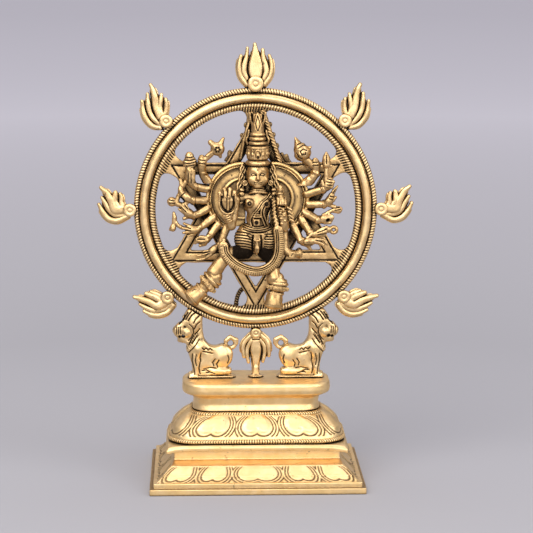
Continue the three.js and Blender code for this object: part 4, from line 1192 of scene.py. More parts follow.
def star_flat(x, z):
    away = np.full(np.broadcast(x, z).shape, 1e9)
    for up in (1, -1):
        within = triangle_distance(x, z, STAR_INRADIUS, up)
        opening = triangle_distance(x, z, STAR_INRADIUS - STAR_STRIP, up)
        away = np.minimum(away, np.maximum(within, -opening))
    for k in range(6):
        turn = math.radians(90 + 60 * k)
        out = x * math.cos(turn) + (z - STAR_Z) * math.sin(turn)
        across = np.abs(-x * math.sin(turn) + (z - STAR_Z) * math.cos(turn))
        away = np.minimum(away, np.maximum(across - STAR_FOOT, np.abs(out - 49) - 8))
    ring = np.abs(np.hypot(x, z - WHEEL_Z) - ROPE_INNER - 0.3) - 0.5
    return soft_min(away, ring, 5.5)


def build_star():
    clay = Clay((-57, -1.9, 92), (57, 1.9, 206), 0.34)
    clay.add(slab(star_flat, (-57, 92), (57, 206), 0, 1.5, 0.45), 0)
    inset = 1.15
    for up in (1, -1):
        for inradius in (STAR_INRADIUS - inset, STAR_INRADIUS - STAR_STRIP + inset):

            def line(x, y, z):
                away = triangle_distance(x[:, :, 0], z[0], inradius, up)
                depth = 0.34 * groove(away, 0.3)
                far = np.hypot(x[:, :, 0], z[0] - WHEEL_Z)
                return (depth * smooth_step(54 - far, 0, 2))[:, None, :]

            clay.relief((-57, -2, 92), (57, 2, 206), line, 1.0)

    def serrate(x, y, z):
        flat_x, flat_z = x[:, :, 0], z[0]
        far = np.hypot(flat_x, flat_z - WHEEL_Z)
        turn = np.arctan2(flat_z - WHEEL_Z, flat_x)
        cuts = np.abs(np.cos(turn * 116 + (far - 54) * 0.5)) ** 6
        return (0.42 * cuts * smooth_step(far, 52.8, 53.8))[:, None, :]

    clay.relief((-57, -3, 92), (57, 0, 206), serrate, 0.9)

    # painted shadow: within an oval of 36 by 27 mm round the figure the star is sunk 0.2 mm and darkened
    # (0.42), as the shade the figure casts on it
    def shadow(x, y, z):
        flat_x, flat_z = x[:, :, 0], z[0]
        away = np.hypot((flat_x - FIGURE_X) / 36, (flat_z - 152) / 27)
        return (0.2 * smooth_step(1.04 - away, 0, 0.16))[:, None, :]

    clay.relief((-57, -3, 92), (57, 0, 206), shadow, 0.42)
    clay.roughen(0.12, 9, 31)
    clay.cut(beyond_rim(ROPE_INNER + 0.9))
    clay.skin("star_frame", ANTIQUED, 0.06, name="star_detail")


ARCH_OUTER = [
    (-13.6, 175), (-15, 179), (-13.8, 182.4), (-11, 181.2), (-8.2, 184.4), (-6, 190), (-4.6, 197),
    (-3, 203), (5.4, 203), (8.2, 197), (10.6, 190), (12.6, 184), (15, 179.4), (18, 180), (19.4, 177),
    (18.4, 173.4),
]
ARCH_INNER = [(-7.8, 172), (-6, 182), (-2.6, 194), (1, 199.4), (4.6, 194), (8, 182), (12.4, 172)]
ARCH_KNOTS = [
    (-4.6, 196), (-6.6, 190), (-8.8, 184.4), (-11.4, 179),
    (8.4, 196), (10.4, 190.4), (12.4, 184.6), (15, 179.4),
]


def build_arch():
    low, high = box_mm("back_arch")
    middle, half = (low[1] + high[1]) / 2, (high[1] - low[1]) / 2
    clay = Clay(low - (2, 0.6, 2), high + (2, 0.6, 2), 0.28)
    clay.add(plate(drawn(curve(ARCH_OUTER, 3, True)), middle, half, 0.9), 0)
    clay.cut(plate(drawn(curve(ARCH_INNER, 3, True)), middle, 3 * half, 0.2))
    for x, z in drawn(ARCH_KNOTS):
        clay.add(egg((x, low[1] + 0.3, z), (1.3, 0.9, 1.6)), 0.3)
    clay.roughen(0.15, 4, 33)
    clay.skin("back_arch", ANTIQUED, 0.03, tarnish=0.3)


STRUT = [(-5.4, 105.4, 1.3), (-7.6, 104, 1.25), (-9.2, 101.2, 1.2), (-10, 98, 1.2), (-10.2, 95.6, 1.3)]


def build_strut():
    low, high = box_mm("back_strut")
    middle = (low[1] + high[1]) / 2
    clay = Clay(low - 1, high + 1, 0.25)
    clay.chain([(x, middle, z, radius) for x, z, radius in curve(drawn(STRUT), 4)])
    clay.relief(low - 1, high + 1, lambda x, y, z: 0.16 * np.cos(z * 4.2 + x * 2), 0.5)
    clay.skin("back_strut", ANTIQUED, 0.02, tarnish=0.3)


# ---------------------------------------------------------------- figure: head and crown

# The figure is pressed from rods, eggs, hoops and plates. Places are x from its middle line, y from
# BODY or the front of its piece (towards the viewer is below zero) and height; the number after a
# shape or a list of points is how softly it joins the rest.

BACK = CROWN_HIGH[1]  # the figure's back, against the star
BODY = -8.4  # depth of the trunk's centre line
SIDES = (("left", -1), ("right", 1))


def on(side, x, y, z):
    """A point at a distance x from the figure's middle line."""
    return (FIGURE_X + side * x, y, z)


def trim_back(clay, low, high):
    """Cut flat what would stand behind the figure's back."""
    middle = (low[0] + high[0]) / 2
    size = high[0] - low[0] + 20
    corners = (middle - size, low[2] - 9), (middle + size, high[2] + 9)
    clay.cut(slab(lambda x, z: np.full_like(x, -5), *corners, BACK + 6, 6, 0.1))


# the face, measured from the head's middle line: x and height, and for the brow how far ahead it is
BROW = [(0.9, 5.35, 171.5), (2.6, 5.0, 172.3), (4.6, 3.7, 171.4)]
LIDS = [[(1.1, 170.1), (2.4, 170.0), (3.75, 170.25)], [(1.0, 170.3), (2.4, 171.0), (3.9, 170.5)]]
LIPS = [
    [(-2, 166.2), (-0.7, 166.55), (0, 166.4), (0.7, 166.55), (2, 166.2)],
    [(-1.5, 165.72), (-0.7, 165.5088), (0, 165.45), (0.7, 165.5088), (1.5, 165.72)],
]


def build_head():
    low, high = box_mm("head")
    clay = Clay(low - (3.4, 1.6, 1.6), high + (3.4, 0.6, 0.8), 0.16)
    clay.add(egg(on(1, 0, BODY, 170.4), (6.2, 5.6, 7)), 0)
    clay.add(egg(on(1, 0, BODY - 1.9, 166.6), (5.3, 4, 4)), 1.2)
    clay.add(egg(on(1, 0, BODY - 4.3, 164.1), (2.3, 1.6, 1.3)), 0.9)
    clay.add(rod(on(1, 0, BODY + 0.6, 165), on(1, 0, BODY + 0.6, 160.8), 3.1, 3.4), 0.6)
    for side in (-1, 1):
        clay.add(egg(on(side, 3.3, BODY - 3.5, 167.4), (2.2, 1.7, 2.2)), 1)
        clay.cut(egg(on(side, 2.5, BODY - 5.7, 170.2), (1.8, 0.75, 0.9)), 0.4)
        clay.add(egg(on(side, 2.5, BODY - 4.3, 170.05), (1.5, 0.9, 0.68)), 0.1)
        brow = curve([on(side, x, BODY - ahead, z) for x, ahead, z in BROW], 4)
        for a, b in zip(brow[:-1], brow[1:]):
            clay.add(rod(a, b, 0.32), 0.12)
        clay.add(egg(on(side, 0.75, BODY - 6.1, 167.9), (0.55, 0.5, 0.45)), 0.3)
        clay.add(egg(on(side, 5.9, BODY + 0.4, 169.8), (1.0, 1.7, 2.6)), 0.2)
        clay.cut(egg(on(side, 6.7, BODY - 0.6, 169.9), (0.7, 0.7, 1.5)), 0.2, 0.8)
        clay.add(hoop(on(side, 6.9, BODY - 1.3, 165.4), (0, 1, 0), 1.15, 0.45), 0.15)
        clay.add(egg(on(side, 6.9, BODY - 1.2, 165.4), (0.65, 0.6, 0.65)), 0.1)
        for strand in range(3):
            share = np.linspace(0, 1, 27)
            wave = 0.34 * np.sin(share * 20 + strand * 2.1)
            x = 6.9 + 0.9 * strand + (1.5 + 0.6 * strand) * share**1.3 + wave
            y = BODY + 1.4 - share - 0.5 * strand
            clay.line([on(side, *spot) for spot in zip(x, y, 175.6 - 14 * share)], 0.62, 0.15)
        clay.add(egg(on(side, 7.2, BODY + 2.6, 169), (2.4, 1.8, 6.6), side * 10), 0.4)
        clay.add(rod(on(side, 4.4, BODY + 3.6, 172), on(side, 5.4, BODY + 4, 159.4), 3, 3.6), 0.4)
        clay.add(egg(on(side, 8.6, BODY - 1.2, 161.6), (1.5, 1.3, 1.2)), 0.2)
        lids = [curve([(FIGURE_X + side * x, z) for x, z in lid], 4) for lid in LIDS]
        clay.engrave(lids, 0.16, 0.22, 0.9, back=BODY)
    clay.chain([(*on(1, 0, BODY - 5.2, 171.6), 0.5), (*on(1, 0, BODY - 6.5, 168.4), 0.85)], 0.5)
    clay.add(egg(on(1, 0, BODY - 6.6, 168.1), (0.7, 0.6, 0.55)), 0.2)
    for lip, radius in zip(LIPS, (0.4, 0.5)):
        clay.line([on(1, x, BODY - 5.85 + 0.12 * x * x, z) for x, z in lip], radius, 0.12)
    mouth = [(FIGURE_X + x, 166 + 0.05 * x * x) for x in (-2.3, -1, 0, 1, 2.3)]
    clay.engrave([mouth], 0.15, 0.4, 1.0, back=BODY)
    clay.add(egg(on(1, 0, BODY - 5.3, 173), (0.45, 0.4, 0.6)), 0.1)
    clay.cut(above(175.5))
    trim_back(clay, low, high)
    clay.skin("head", ANTIQUED, 0.02, 3.0)


def turned_distance(profile, centre_x, centre_y, flat=1.0):
    """A solid turned about an upright line from radii and heights; flat squeezes it along Y."""
    profile = np.array(profile, float)
    outline = np.vstack([[0, profile[0][1]], profile, [0, profile[-1][1]]])
    reach = profile[:, 0].max()
    low = (centre_x - reach, centre_y - reach * flat, profile[:, 1].min())
    high = (centre_x + reach, centre_y + reach * flat, profile[:, 1].max())

    def distance(x, y, z):
        radius = np.sqrt((x - centre_x) ** 2 + ((y - centre_y) / flat) ** 2)
        return outline_distance(outline, radius, z)

    return low, high, distance


CROWN_PROFILE = [  # radius and height
    (5.6, 174.6), (6.2, 175.2), (6.75, 176.1), (6.5, 177.2), (5.5, 177.9), (5.5, 178.3),
    (5.9, 178.9), (5.75, 181.5), (5.7, 184.2), (5.95, 184.7), (5.7, 185.4), (4.4, 185.8),
    (4.3, 186.1), (4.95, 186.7), (4.8, 187.7), (3.9, 188.2), (3.9, 188.5), (4.6, 189.2),
    (4.4, 190.2), (3.6, 190.7), (3.6, 191), (4.2, 191.6), (3.9, 192.5), (3.2, 193),
    (3.3, 194.4), (2.9, 197), (2.1, 200), (0.9, 203), (0.3, 203.6),
]


def build_crown():
    low, high = box_mm("crown")
    clay = Clay(low - (4, 0.8, 0.6), high + (8, 0.4, 1.6), 0.2)
    clay.add(turned_distance(CROWN_PROFILE, FIGURE_X, BODY, 0.92), 0)
    for k in (-3, -2, -1, 1, 2, 3):
        lean = math.radians(90 + 30 * k)
        x, y = FIGURE_X - 5.6 * math.cos(lean), BODY - 5.2 * math.sin(lean)
        clay.line([(x, y, 179.2), (x, y, 183.6)], 0.5, 0.15)
        clay.add(egg((x, y, 181.4), (0.9, 0.9, 1.2)), 0.1)
    arch = [(-2, 178.8), (-2, 181.2), (-1.2, 183), (0, 183.7), (1.2, 183), (2, 181.2), (2, 178.8)]
    clay.line([on(1, x, BODY - 5.25 + 0.05 * x * x, z) for x, z in curve(arch, 4)], 0.42, 0.1)
    clay.add(egg((FIGURE_X, BODY - 5.2, 180.6), (1.1, 0.8, 1.6)), 0.1)
    clay.cut(egg((FIGURE_X, BODY - 6.1, 179.6), (0.4, 0.5, 0.9)), 0.1, 0.9)
    leaf = [(0, 202), (-1.3, 197.4), (-0.2, 194)]
    for side in (-1, 1):
        clay.engrave([[(FIGURE_X + side * x, z) for x, z in leaf]], 0.24, 0.32, 0.9, back=BODY)
        flare = [(2.9, 193.4), (2.5, 196.4), (3.6, 199.4), (4.3, 203)]
        clay.line([on(side, x, BODY + 3.2, z) for x, z in curve(flare, 4)], 0.75)
        curl = [(5.2, 186.2), (5.9, 188.6), (5.0, 190.6), (4.6, 193.4)]
        clay.line([on(side, x, BODY + 3.4, z) for x, z in curve(curl, 4)], 0.8)
    for z, width, depth in ((178.15, 0.28, 0.2), (174.9, 0.3, 0.1)):
        clay.engrave([[(FIGURE_X - 7, z), (FIGURE_X + 7, z)]], width, depth, 0.8, back=BACK)
    for strand in range(3):
        share = np.linspace(0, 1, 45)
        turn = share * 30 + strand * 2.1
        swing = 0.75 * np.sin(turn)
        x, y = 2.8 + 9.6 * share + swing, BACK - 1.6 - 0.5 * np.cos(turn)
        clay.line([on(1, *spot) for spot in zip(x, y, 204 - 28 * share + 0.3 * swing)], 0.72, 0.1)
    cord = [(3, 1.4, 203, 0.9), (7.4, 1.4, 188, 1.0), (9, 1.2, 178, 0.9)]
    clay.chain([(*on(-1, x, BACK - ahead, z), radius) for x, ahead, z, radius in cord], 0.1)

    def web(x, z):
        return np.abs(x - FIGURE_X) - 2.4

    clay.add(slab(web, (FIGURE_X - 2.4, 176), (FIGURE_X + 2.4, 201), -5, 3, 0.4), 0.4)
    trim_back(clay, low, high)
    clay.roughen(0.08, 3, 41)
    clay.skin("crown", ANTIQUED, 0.02, 3.0)


# ---------------------------------------------------------------- figure: trunk, skirt and sash


def build_torso():
    low, high = box_mm("torso")
    clay = Clay(low - (3, 2.4, 1.6), high + (3, 0.4, 1.2), 0.2)
    clay.add(egg(on(1, 0, BODY, 153.6), (8, 4.3, 6.2)), 0)
    clay.add(egg(on(1, 0, BODY + 0.2, 145.6), (6.4, 3.9, 6.4)), 2)
    clay.add(rod(on(1, -7.6, BODY, 157.4), on(1, 7.6, BODY, 157.4), 2.9), 1.4)
    clay.add(rod(on(1, 0, BODY, 156), on(1, 0, BODY, 162.6), 3.4, 2.9), 1)
    for side, z in ((-1, 154.7), (1, 154.4)):
        centre = on(side, 4.6, BODY - 3.2, z)
        clay.add(egg(centre, (2.7, 2.1, 2.6)), 0.3)
        tip = (centre[0], centre[1] - 1.9, centre[2])
        clay.cut(hoop(tip, (0, 1, 0), 0.8, 0.16), 0.1, 0.7)
        clay.add(egg(tip, (0.34, 0.5, 0.34)), 0.05)
        clay.add(egg(on(side, 9.3, BODY - 0.6, 157.2), (2.6, 2.7, 2.8)), 0.5)
        clay.add(hoop(on(side, 9.8, BODY - 0.8, 154.8), (side * 0.2, 0, 1), 2.4, 0.6), 0.15)
        clay.add(egg(on(side, 8.8, BODY - 3, 159.6), (1.5, 1.1, 1.3)), 0.2)
    for radius, z, wire in ((3.5, 161.8, 0.55), (4.3, 160.3, 0.6), (5.4, 158.9, 0.6)):
        clay.add(hoop(on(1, 0, BODY - 0.4, z), (0, 0.42, 1), radius, wire, 0.9), 0.15)
    front = BODY - 4.6
    scarf = [
        [(7.4, 160), (5.4, 157.4), (2.4, 155), (0.6, 152), (-2, 149), (-3.4, 145.6), (-2.8, 142.4)],
        [(8.4, 158.6), (6.2, 155.8), (3.4, 153), (2.4, 149), (3.4, 145.6), (4.6, 142.6)],
        [(8.8, 156.6), (8.2, 152.4), (6.6, 148.6), (6.2, 145), (6.8, 142)],
    ]
    for line in scarf:
        for shift in (-0.75, 0.75):
            cord = curve([(x + shift, z + 0.3 * shift) for x, z in line], 4)
            bulge = [front + 0.05 * x * x + 0.3 * abs(z - 152) / 8 for x, z in cord]
            clay.line([on(1, x, y, z) for (x, z), y in zip(cord, bulge)], 0.5, 0.12)
        middle = [(FIGURE_X + x, z) for x, z in curve(line, 4)]
        clay.engrave([middle], 0.2, 0.25, 0.8, back=BODY - 2)
    clasp = [(-2.5, 142.6), (-2.6, 146), (0.9, 146.2), (1, 142.6)]
    clay.add(plate([(FIGURE_X + x, z) for x, z in clasp], front - 0.3, 1.1, 0.3), 0.1)
    clay.cut(hoop(on(1, -0.8, front - 1.4, 144.3), (0, 1, 0), 0.6, 0.2), 0.05, 0.9)
    for k, half in enumerate((2.1, 1.5, 0.9)):
        z = 147.2 + 1.15 * k
        clay.line([on(1, x, front + 0.2, z) for x in (-0.8 - half, -0.8 + half)], 0.42, 0.1)
    clay.cut(below(141.3))
    trim_back(clay, low, high)
    clay.roughen(0.07, 3.4, 42)
    clay.skin("torso", ANTIQUED, 0.02, 3.0, 0.08)


def build_skirt():
    low, high = box_mm("skirt")
    clay = Clay(low - (3, 1.6, 2), high + (3, 0.4, 1.2), 0.2)
    clay.add(egg(on(1, 0.4, BODY + 0.4, 136), (12.6, 4.4, 9.4)), 0)
    clay.add(egg(on(1, -6.4, BODY - 0.4, 133.8), (6.8, 4, 6.2), -28), 1.5)
    clay.add(egg(on(1, 7.4, BODY - 0.4, 133.6), (6.2, 4, 6.4), 20), 1.5)
    clay.add(egg(on(1, -0.4, BODY, 140.6), (7.4, 4.4, 2.6)), 1)

    def pleats(x, y, z):
        across = x - FIGURE_X
        left = across < -2.2
        right = across > 3.4
        fall_left = z + 0.42 * (across + 2.2) + 0.028 * (across + 2.2) ** 2
        fall_right = z + 0.13 * (across - 3.4) - 0.02 * (across - 3.4) ** 2
        wave = np.where(left, np.cos(fall_left * 4.1), np.cos(fall_right * 4.35))
        shape = 0.4 * (0.5 - 0.5 * wave) ** 4
        fade = smooth_step(138.4 + 0.02 * across * across - z, 0, 1) * (left | right)
        return shape * fade

    clay.relief((low[0] - 3, low[1] - 2, 124), (high[0] + 3, BODY + 2, 141), pleats, 0.95)

    def belts(x, y, z):
        across = x - FIGURE_X + 0.3
        level = z - 0.03 * across * across
        wave = 0.5 - 0.5 * np.cos((level - 137.9) * 5.1)
        inside = smooth_step(level, 137.6, 138) * smooth_step(8.2 - np.abs(across), 0, 0.6)
        return 0.34 * wave**4 * inside

    clay.relief((low[0], low[1] - 2, 137), (high[0], BODY, 143), belts, 0.9)
    swag = curve([(-5.4, 138.2), (-3.8, 135.8), (-0.6, 134.3), (2.6, 135.7), (4.6, 138.2)], 8)
    cloth = [(x, z) for x, z in swag] + [(4.8, 139), (-5.6, 139)]
    clay.add(plate([(FIGURE_X + x, z - 0.6) for x, z in cloth], BODY - 4.4, 0.8, 0.4), 0.2)
    clay.line([on(1, x, BODY - 5.0 + 0.03 * x * x, z) for x, z in swag], 0.6, 0.1)
    for x, z in swag[::3]:
        clay.add(egg((FIGURE_X + x, BODY - 5.4 + 0.03 * x * x, z), (0.6, 0.6, 0.6)), 0.1)
    for side in (-1, 1):
        edge = [(2.1, 137), (2.5, 133), (2.2, 128.8)]
        clay.engrave([[(FIGURE_X - 0.6 + side * x, z) for x, z in edge]], 0.36, 0.9, 1.0, back=BODY - 1)
    drop = [(134.4, 0.9), (132, 1.0), (130, 1.5), (128.4, 1.3), (126.8, 0.4)]
    for (top, wide), (bottom, narrow) in zip(drop[:-1], drop[1:]):
        start, end = on(1, -0.6, BODY - 4.6, top), on(1, -0.6, BODY - 4.6, bottom)
        clay.add(rod(start, end, wide, narrow), 0.2)
    clay.engrave([[(FIGURE_X - 0.6, 133), (FIGURE_X - 0.6, 128)]], 0.16, 0.2, 0.7, back=BODY - 4)
    trim_back(clay, low, high)
    clay.roughen(0.06, 3, 43)
    clay.skin("skirt", ANTIQUED, 0.02, 3.0, 0.04)


SASH_LINE = [
    (-17.4, 131.6), (-16.4, 127.4), (-12.4, 122.8), (-6.6, 119.3), (0, 117.6),
    (5.6, 118.7), (10.2, 122.2), (12.6, 127.6), (13, 134), (12.4, 140.4),
]


def build_sash():
    low, high = box_mm("sash")
    front = low[1]
    clay = Clay(low - (3, 1.2, 2), high + (2, 2.4, 18), 0.2)
    line = curve(drawn(SASH_LINE), 6)
    broad = np.column_stack([line, np.full(len(line), 2.75)])
    clay.add(ribbon(broad, front + 1.5, 1.35, 1.2), 0)
    along = np.gradient(line, axis=0)
    along /= np.linalg.norm(along, axis=1, keepdims=True)
    inward = np.column_stack([-along[:, 1], along[:, 0]])
    for reach, wire in ((1.95, 0.55), (0.85, 0.45)):
        clay.line([(x, front + 0.25, z) for x, z in line + inward * reach], wire, 0.1)
    clay.engrave([line + inward * 1.4, line + inward * 0.35], 0.2, 0.3, 0.95, back=front + 1.5)
    reach = np.concatenate([[0], np.cumsum(np.linalg.norm(np.diff(line, axis=0), axis=1))])
    fringe = []
    for s in np.arange(0.5, reach[-1], 0.95):
        k = int(np.searchsorted(reach, s)) - 1
        fringe.append([line[k] - inward[k] * 0.7, line[k] - inward[k] * 2.3])
    clay.engrave(fringe, 0.17, 0.2, 0.6, back=front + 1.5)
    garland = [(12.2, 141), (11.4, 145), (10.6, 149), (10.4, 153), (10.2, 156.6)]
    beads = curve(drawn(garland), 4)
    depth = np.linspace(front + 1.2, BODY - 4.2, len(beads))
    clay.line([(x, y, z) for (x, z), y in zip(beads, depth)], 1.1, 0.2)
    for number, ((x, z), y) in enumerate(zip(beads, depth)):
        swing = 0.7 if number % 2 else -0.7
        clay.add(egg((x + swing, y - 0.6, z), (0.75, 0.75, 0.7)), 0.1)
    for x, z in ((-18, 132.8), (-17.2, 134.8)):
        clay.add(egg((x + DRAWN, front + 2, z), (1.2, 1.2, 1.4)), 0.4)
    clay.roughen(0.06, 4, 44)
    clay.skin("sash", ANTIQUED, 0.02, 3.0)


# ---------------------------------------------------------------- figure: legs

SHINS = {
    "left": {
        "thigh": [
            (-5, -8.4, 127.6, 4), (-11, -9.4, 127, 3.8),
            (-17, -10.4, 123.6, 3.4), (-22.6, -11, 116.4, 3.7),
        ],
        "bands": [((-22.4, -11, 113.9), 5.7, 1.15), ((-23.9, -11, 112.4), 5.9, 1.0)],
        "lump": ((-25.9, -11, 110.4), 5.6),
        "ring": ((-29.2, -11, 107.3), 3.7, 0.8),
        "foot": [(-29.6, -11, 107, 3.6), (-31.4, -11.6, 105.5, 4.3), (-33, -12, 104.2, 4.5)],
        "axis": (-0.77, 0, -0.64),
    },
    "right": {
        "thigh": [
            (5, -8.4, 127.6, 4), (8.4, -9.4, 124.4, 3.6), (9.4, -10.4, 119, 3.2), (10.2, -11, 113.6, 4),
        ],
        "bands": [((12, -11, 112), 5.7, 1.15), ((12.4, -11, 110.4), 5.9, 1.0)],
        "lump": ((12.2, -11, 108), 5.3),
        "ring": ((11.2, -11, 105), 3.9, 0.8),
        "foot": [(11, -11, 104.4, 3.8), (10.4, -11.8, 102.2, 4.6), (10.2, -12.6, 100.8, 4.6)],
        "axis": (-0.16, 0, -0.99),
    },
}


def build_leg(word, parts):
    axis = np.array(parts["axis"], float)
    node = f"leg_{word}"
    low, high = box_mm(node)
    clay = Clay(low - (4, 4, 4), high + (4, 1, 6), 0.24)
    clay.chain(curve(drawn(parts["thigh"]), 5) * (1, 1, 1, 1.08), 0.2)

    # painted shade: above 118 to 120.5 mm and within 14.5 mm of the figure's middle, the thighs are sunk
    # 0.2 mm and darkened fully, as the shade inside the sash's loop
    def shade(x, y, z):
        inner = smooth_step(14.5 - np.abs(x - FIGURE_X), 0, 1.5) * smooth_step(z, 118, 120.5)
        return 0.2 * inner

    clay.relief(low - 4, high + 6, shade, 1.0)
    trim_back(clay, low, high)
    clay.roughen(0.08, 4, 51)
    clay.skin(node, ANTIQUED, 0.03, 3.0)

    node = f"anklet_{word}"
    lump, lump_radius = parts["lump"]
    lump = drawn(lump)
    clay = Clay(lump - 11, lump + 11, 0.22)
    for centre, radius, wire in parts["bands"]:
        clay.add(hoop(drawn(centre), axis, radius - wire, wire, 0.72), 0.1)
        clay.add(rod(drawn(centre) - axis * 0.8, drawn(centre) + axis * 0.8, 3.9), 0.4)
    lean = math.degrees(math.atan2(axis[0], -axis[2]))
    clay.add(egg(lump, (lump_radius, 4.4, 3.1), lean), 0.3)
    across = np.array((-axis[2], 0, axis[0]))
    for turn in range(-3, 4):
        spot = lump + across * turn * 1.7 + (0, -4.2 + 0.28 * turn * turn, 0)
        clay.add(hoop(spot, (0, 1, 0), 0.85, 0.4), 0.1)
        clay.add(egg(spot, (0.5, 0.6, 0.5)), 0.05)
    ring, radius, wire = parts["ring"]
    clay.add(hoop(drawn(ring), axis, radius, wire, 0.9), 0.2)
    clay.add(rod(lump, drawn(ring), 3.6, 3.5), 0.2)
    clay.roughen(0.08, 3, 52)
    clay.skin(node, ANTIQUED, 0.02, 3.0)

    node = f"foot_{word}"
    line = curve(drawn(parts["foot"]), 5)
    clay = Clay(line.min(axis=0)[:3] - 7, line.max(axis=0)[:3] + 7, 0.24)
    clay.chain(line, 0.2)
    tip = line[-1][:3]
    sole = tip + axis * 2.2
    clay.add(egg(sole + (0, -0.6, 0), (5.3, 4, 2.1), lean), 1.6)
    side_line = [sole + across * k - axis * 0.4 for k in (-5.6, 0, 5.6)]
    clay.engrave([[(p[0], p[2]) for p in side_line]], 0.2, 0.12, 0.4, back=tip[1])
    trim_back(clay, tip - 9, tip + 9)
    clay.cut(beyond_rim(ROPE_INNER + 0.4, 1.5))
    clay.roughen(0.08, 4, 53)
    clay.skin(node, ANTIQUED, 0.03, 3.0)


# ---------------------------------------------------------------- figure: shoulder fans and arms

FAN_X = 8.1
FAN_Z = 156.5
FAN_RADIUS = 20


def build_fan(word, side):
    node = f"shoulder_fan_{word}"
    low, high = box_mm(node)
    clay = Clay(low - 1.2, high + 1.2, 0.26)
    middle_x = FIGURE_X + side * FAN_X
    middle_y = (low[1] + high[1]) / 2

    def flat(x, z):
        away = np.hypot(x - middle_x, z - FAN_Z)
        return np.maximum(away - FAN_RADIUS, -side * (x - FIGURE_X) + 5)

    clay.add(slab(flat, (low[0], low[2]), (high[0], high[2]), middle_y + 0.5, 1.4, 0.5), 0)

    def dish(x, y, z):
        away = np.hypot(x - middle_x, z - FAN_Z)
        hollow = 1.5 * np.exp(-(((away - 14) / 2.3) ** 2)) + 0.8 * smooth_step(10.9 - away, 0, 1.4)
        return hollow * (y < middle_y)

    for radius, wire in ((FAN_RADIUS - 0.9, 1.05), (FAN_RADIUS - 2.6, 0.6)):
        turn = np.radians(np.linspace(-104, 104, 61))
        x, z = middle_x + side * radius * np.cos(turn), FAN_Z + radius * np.sin(turn)
        outer = side * (x - FIGURE_X) > 8
        clay.line([(x, low[1] + 1.0, z) for x, z in zip(x[outer], z[outer])], wire, 0.1)
    clay.relief(low - 2, (high[0] + 2, middle_y, high[2] + 2), dish, 0.0)

    # painted shade: inside 10.5 mm of the fan's middle the dish is sunk 0.07 mm and darkened to 0.35, as
    # the shade round the body; the groove at 16.9 mm is a cut line, dark with patina
    def shadow(x, y, z):
        away = np.hypot(x - middle_x, z - FAN_Z)
        return 0.2 * np.maximum(0.35 * smooth_step(10.5 - away, 0, 1), groove(away - 16.9, 0.3))

    clay.relief(low - 2, (high[0] + 2, middle_y, high[2] + 2), shadow, 1.0)
    if side < 0:
        clay.cut(below(141))
    trim_back(clay, low, high)
    clay.roughen(0.1, 7, 61)
    clay.skin(node, RUBBED, 0.03, 3.0)


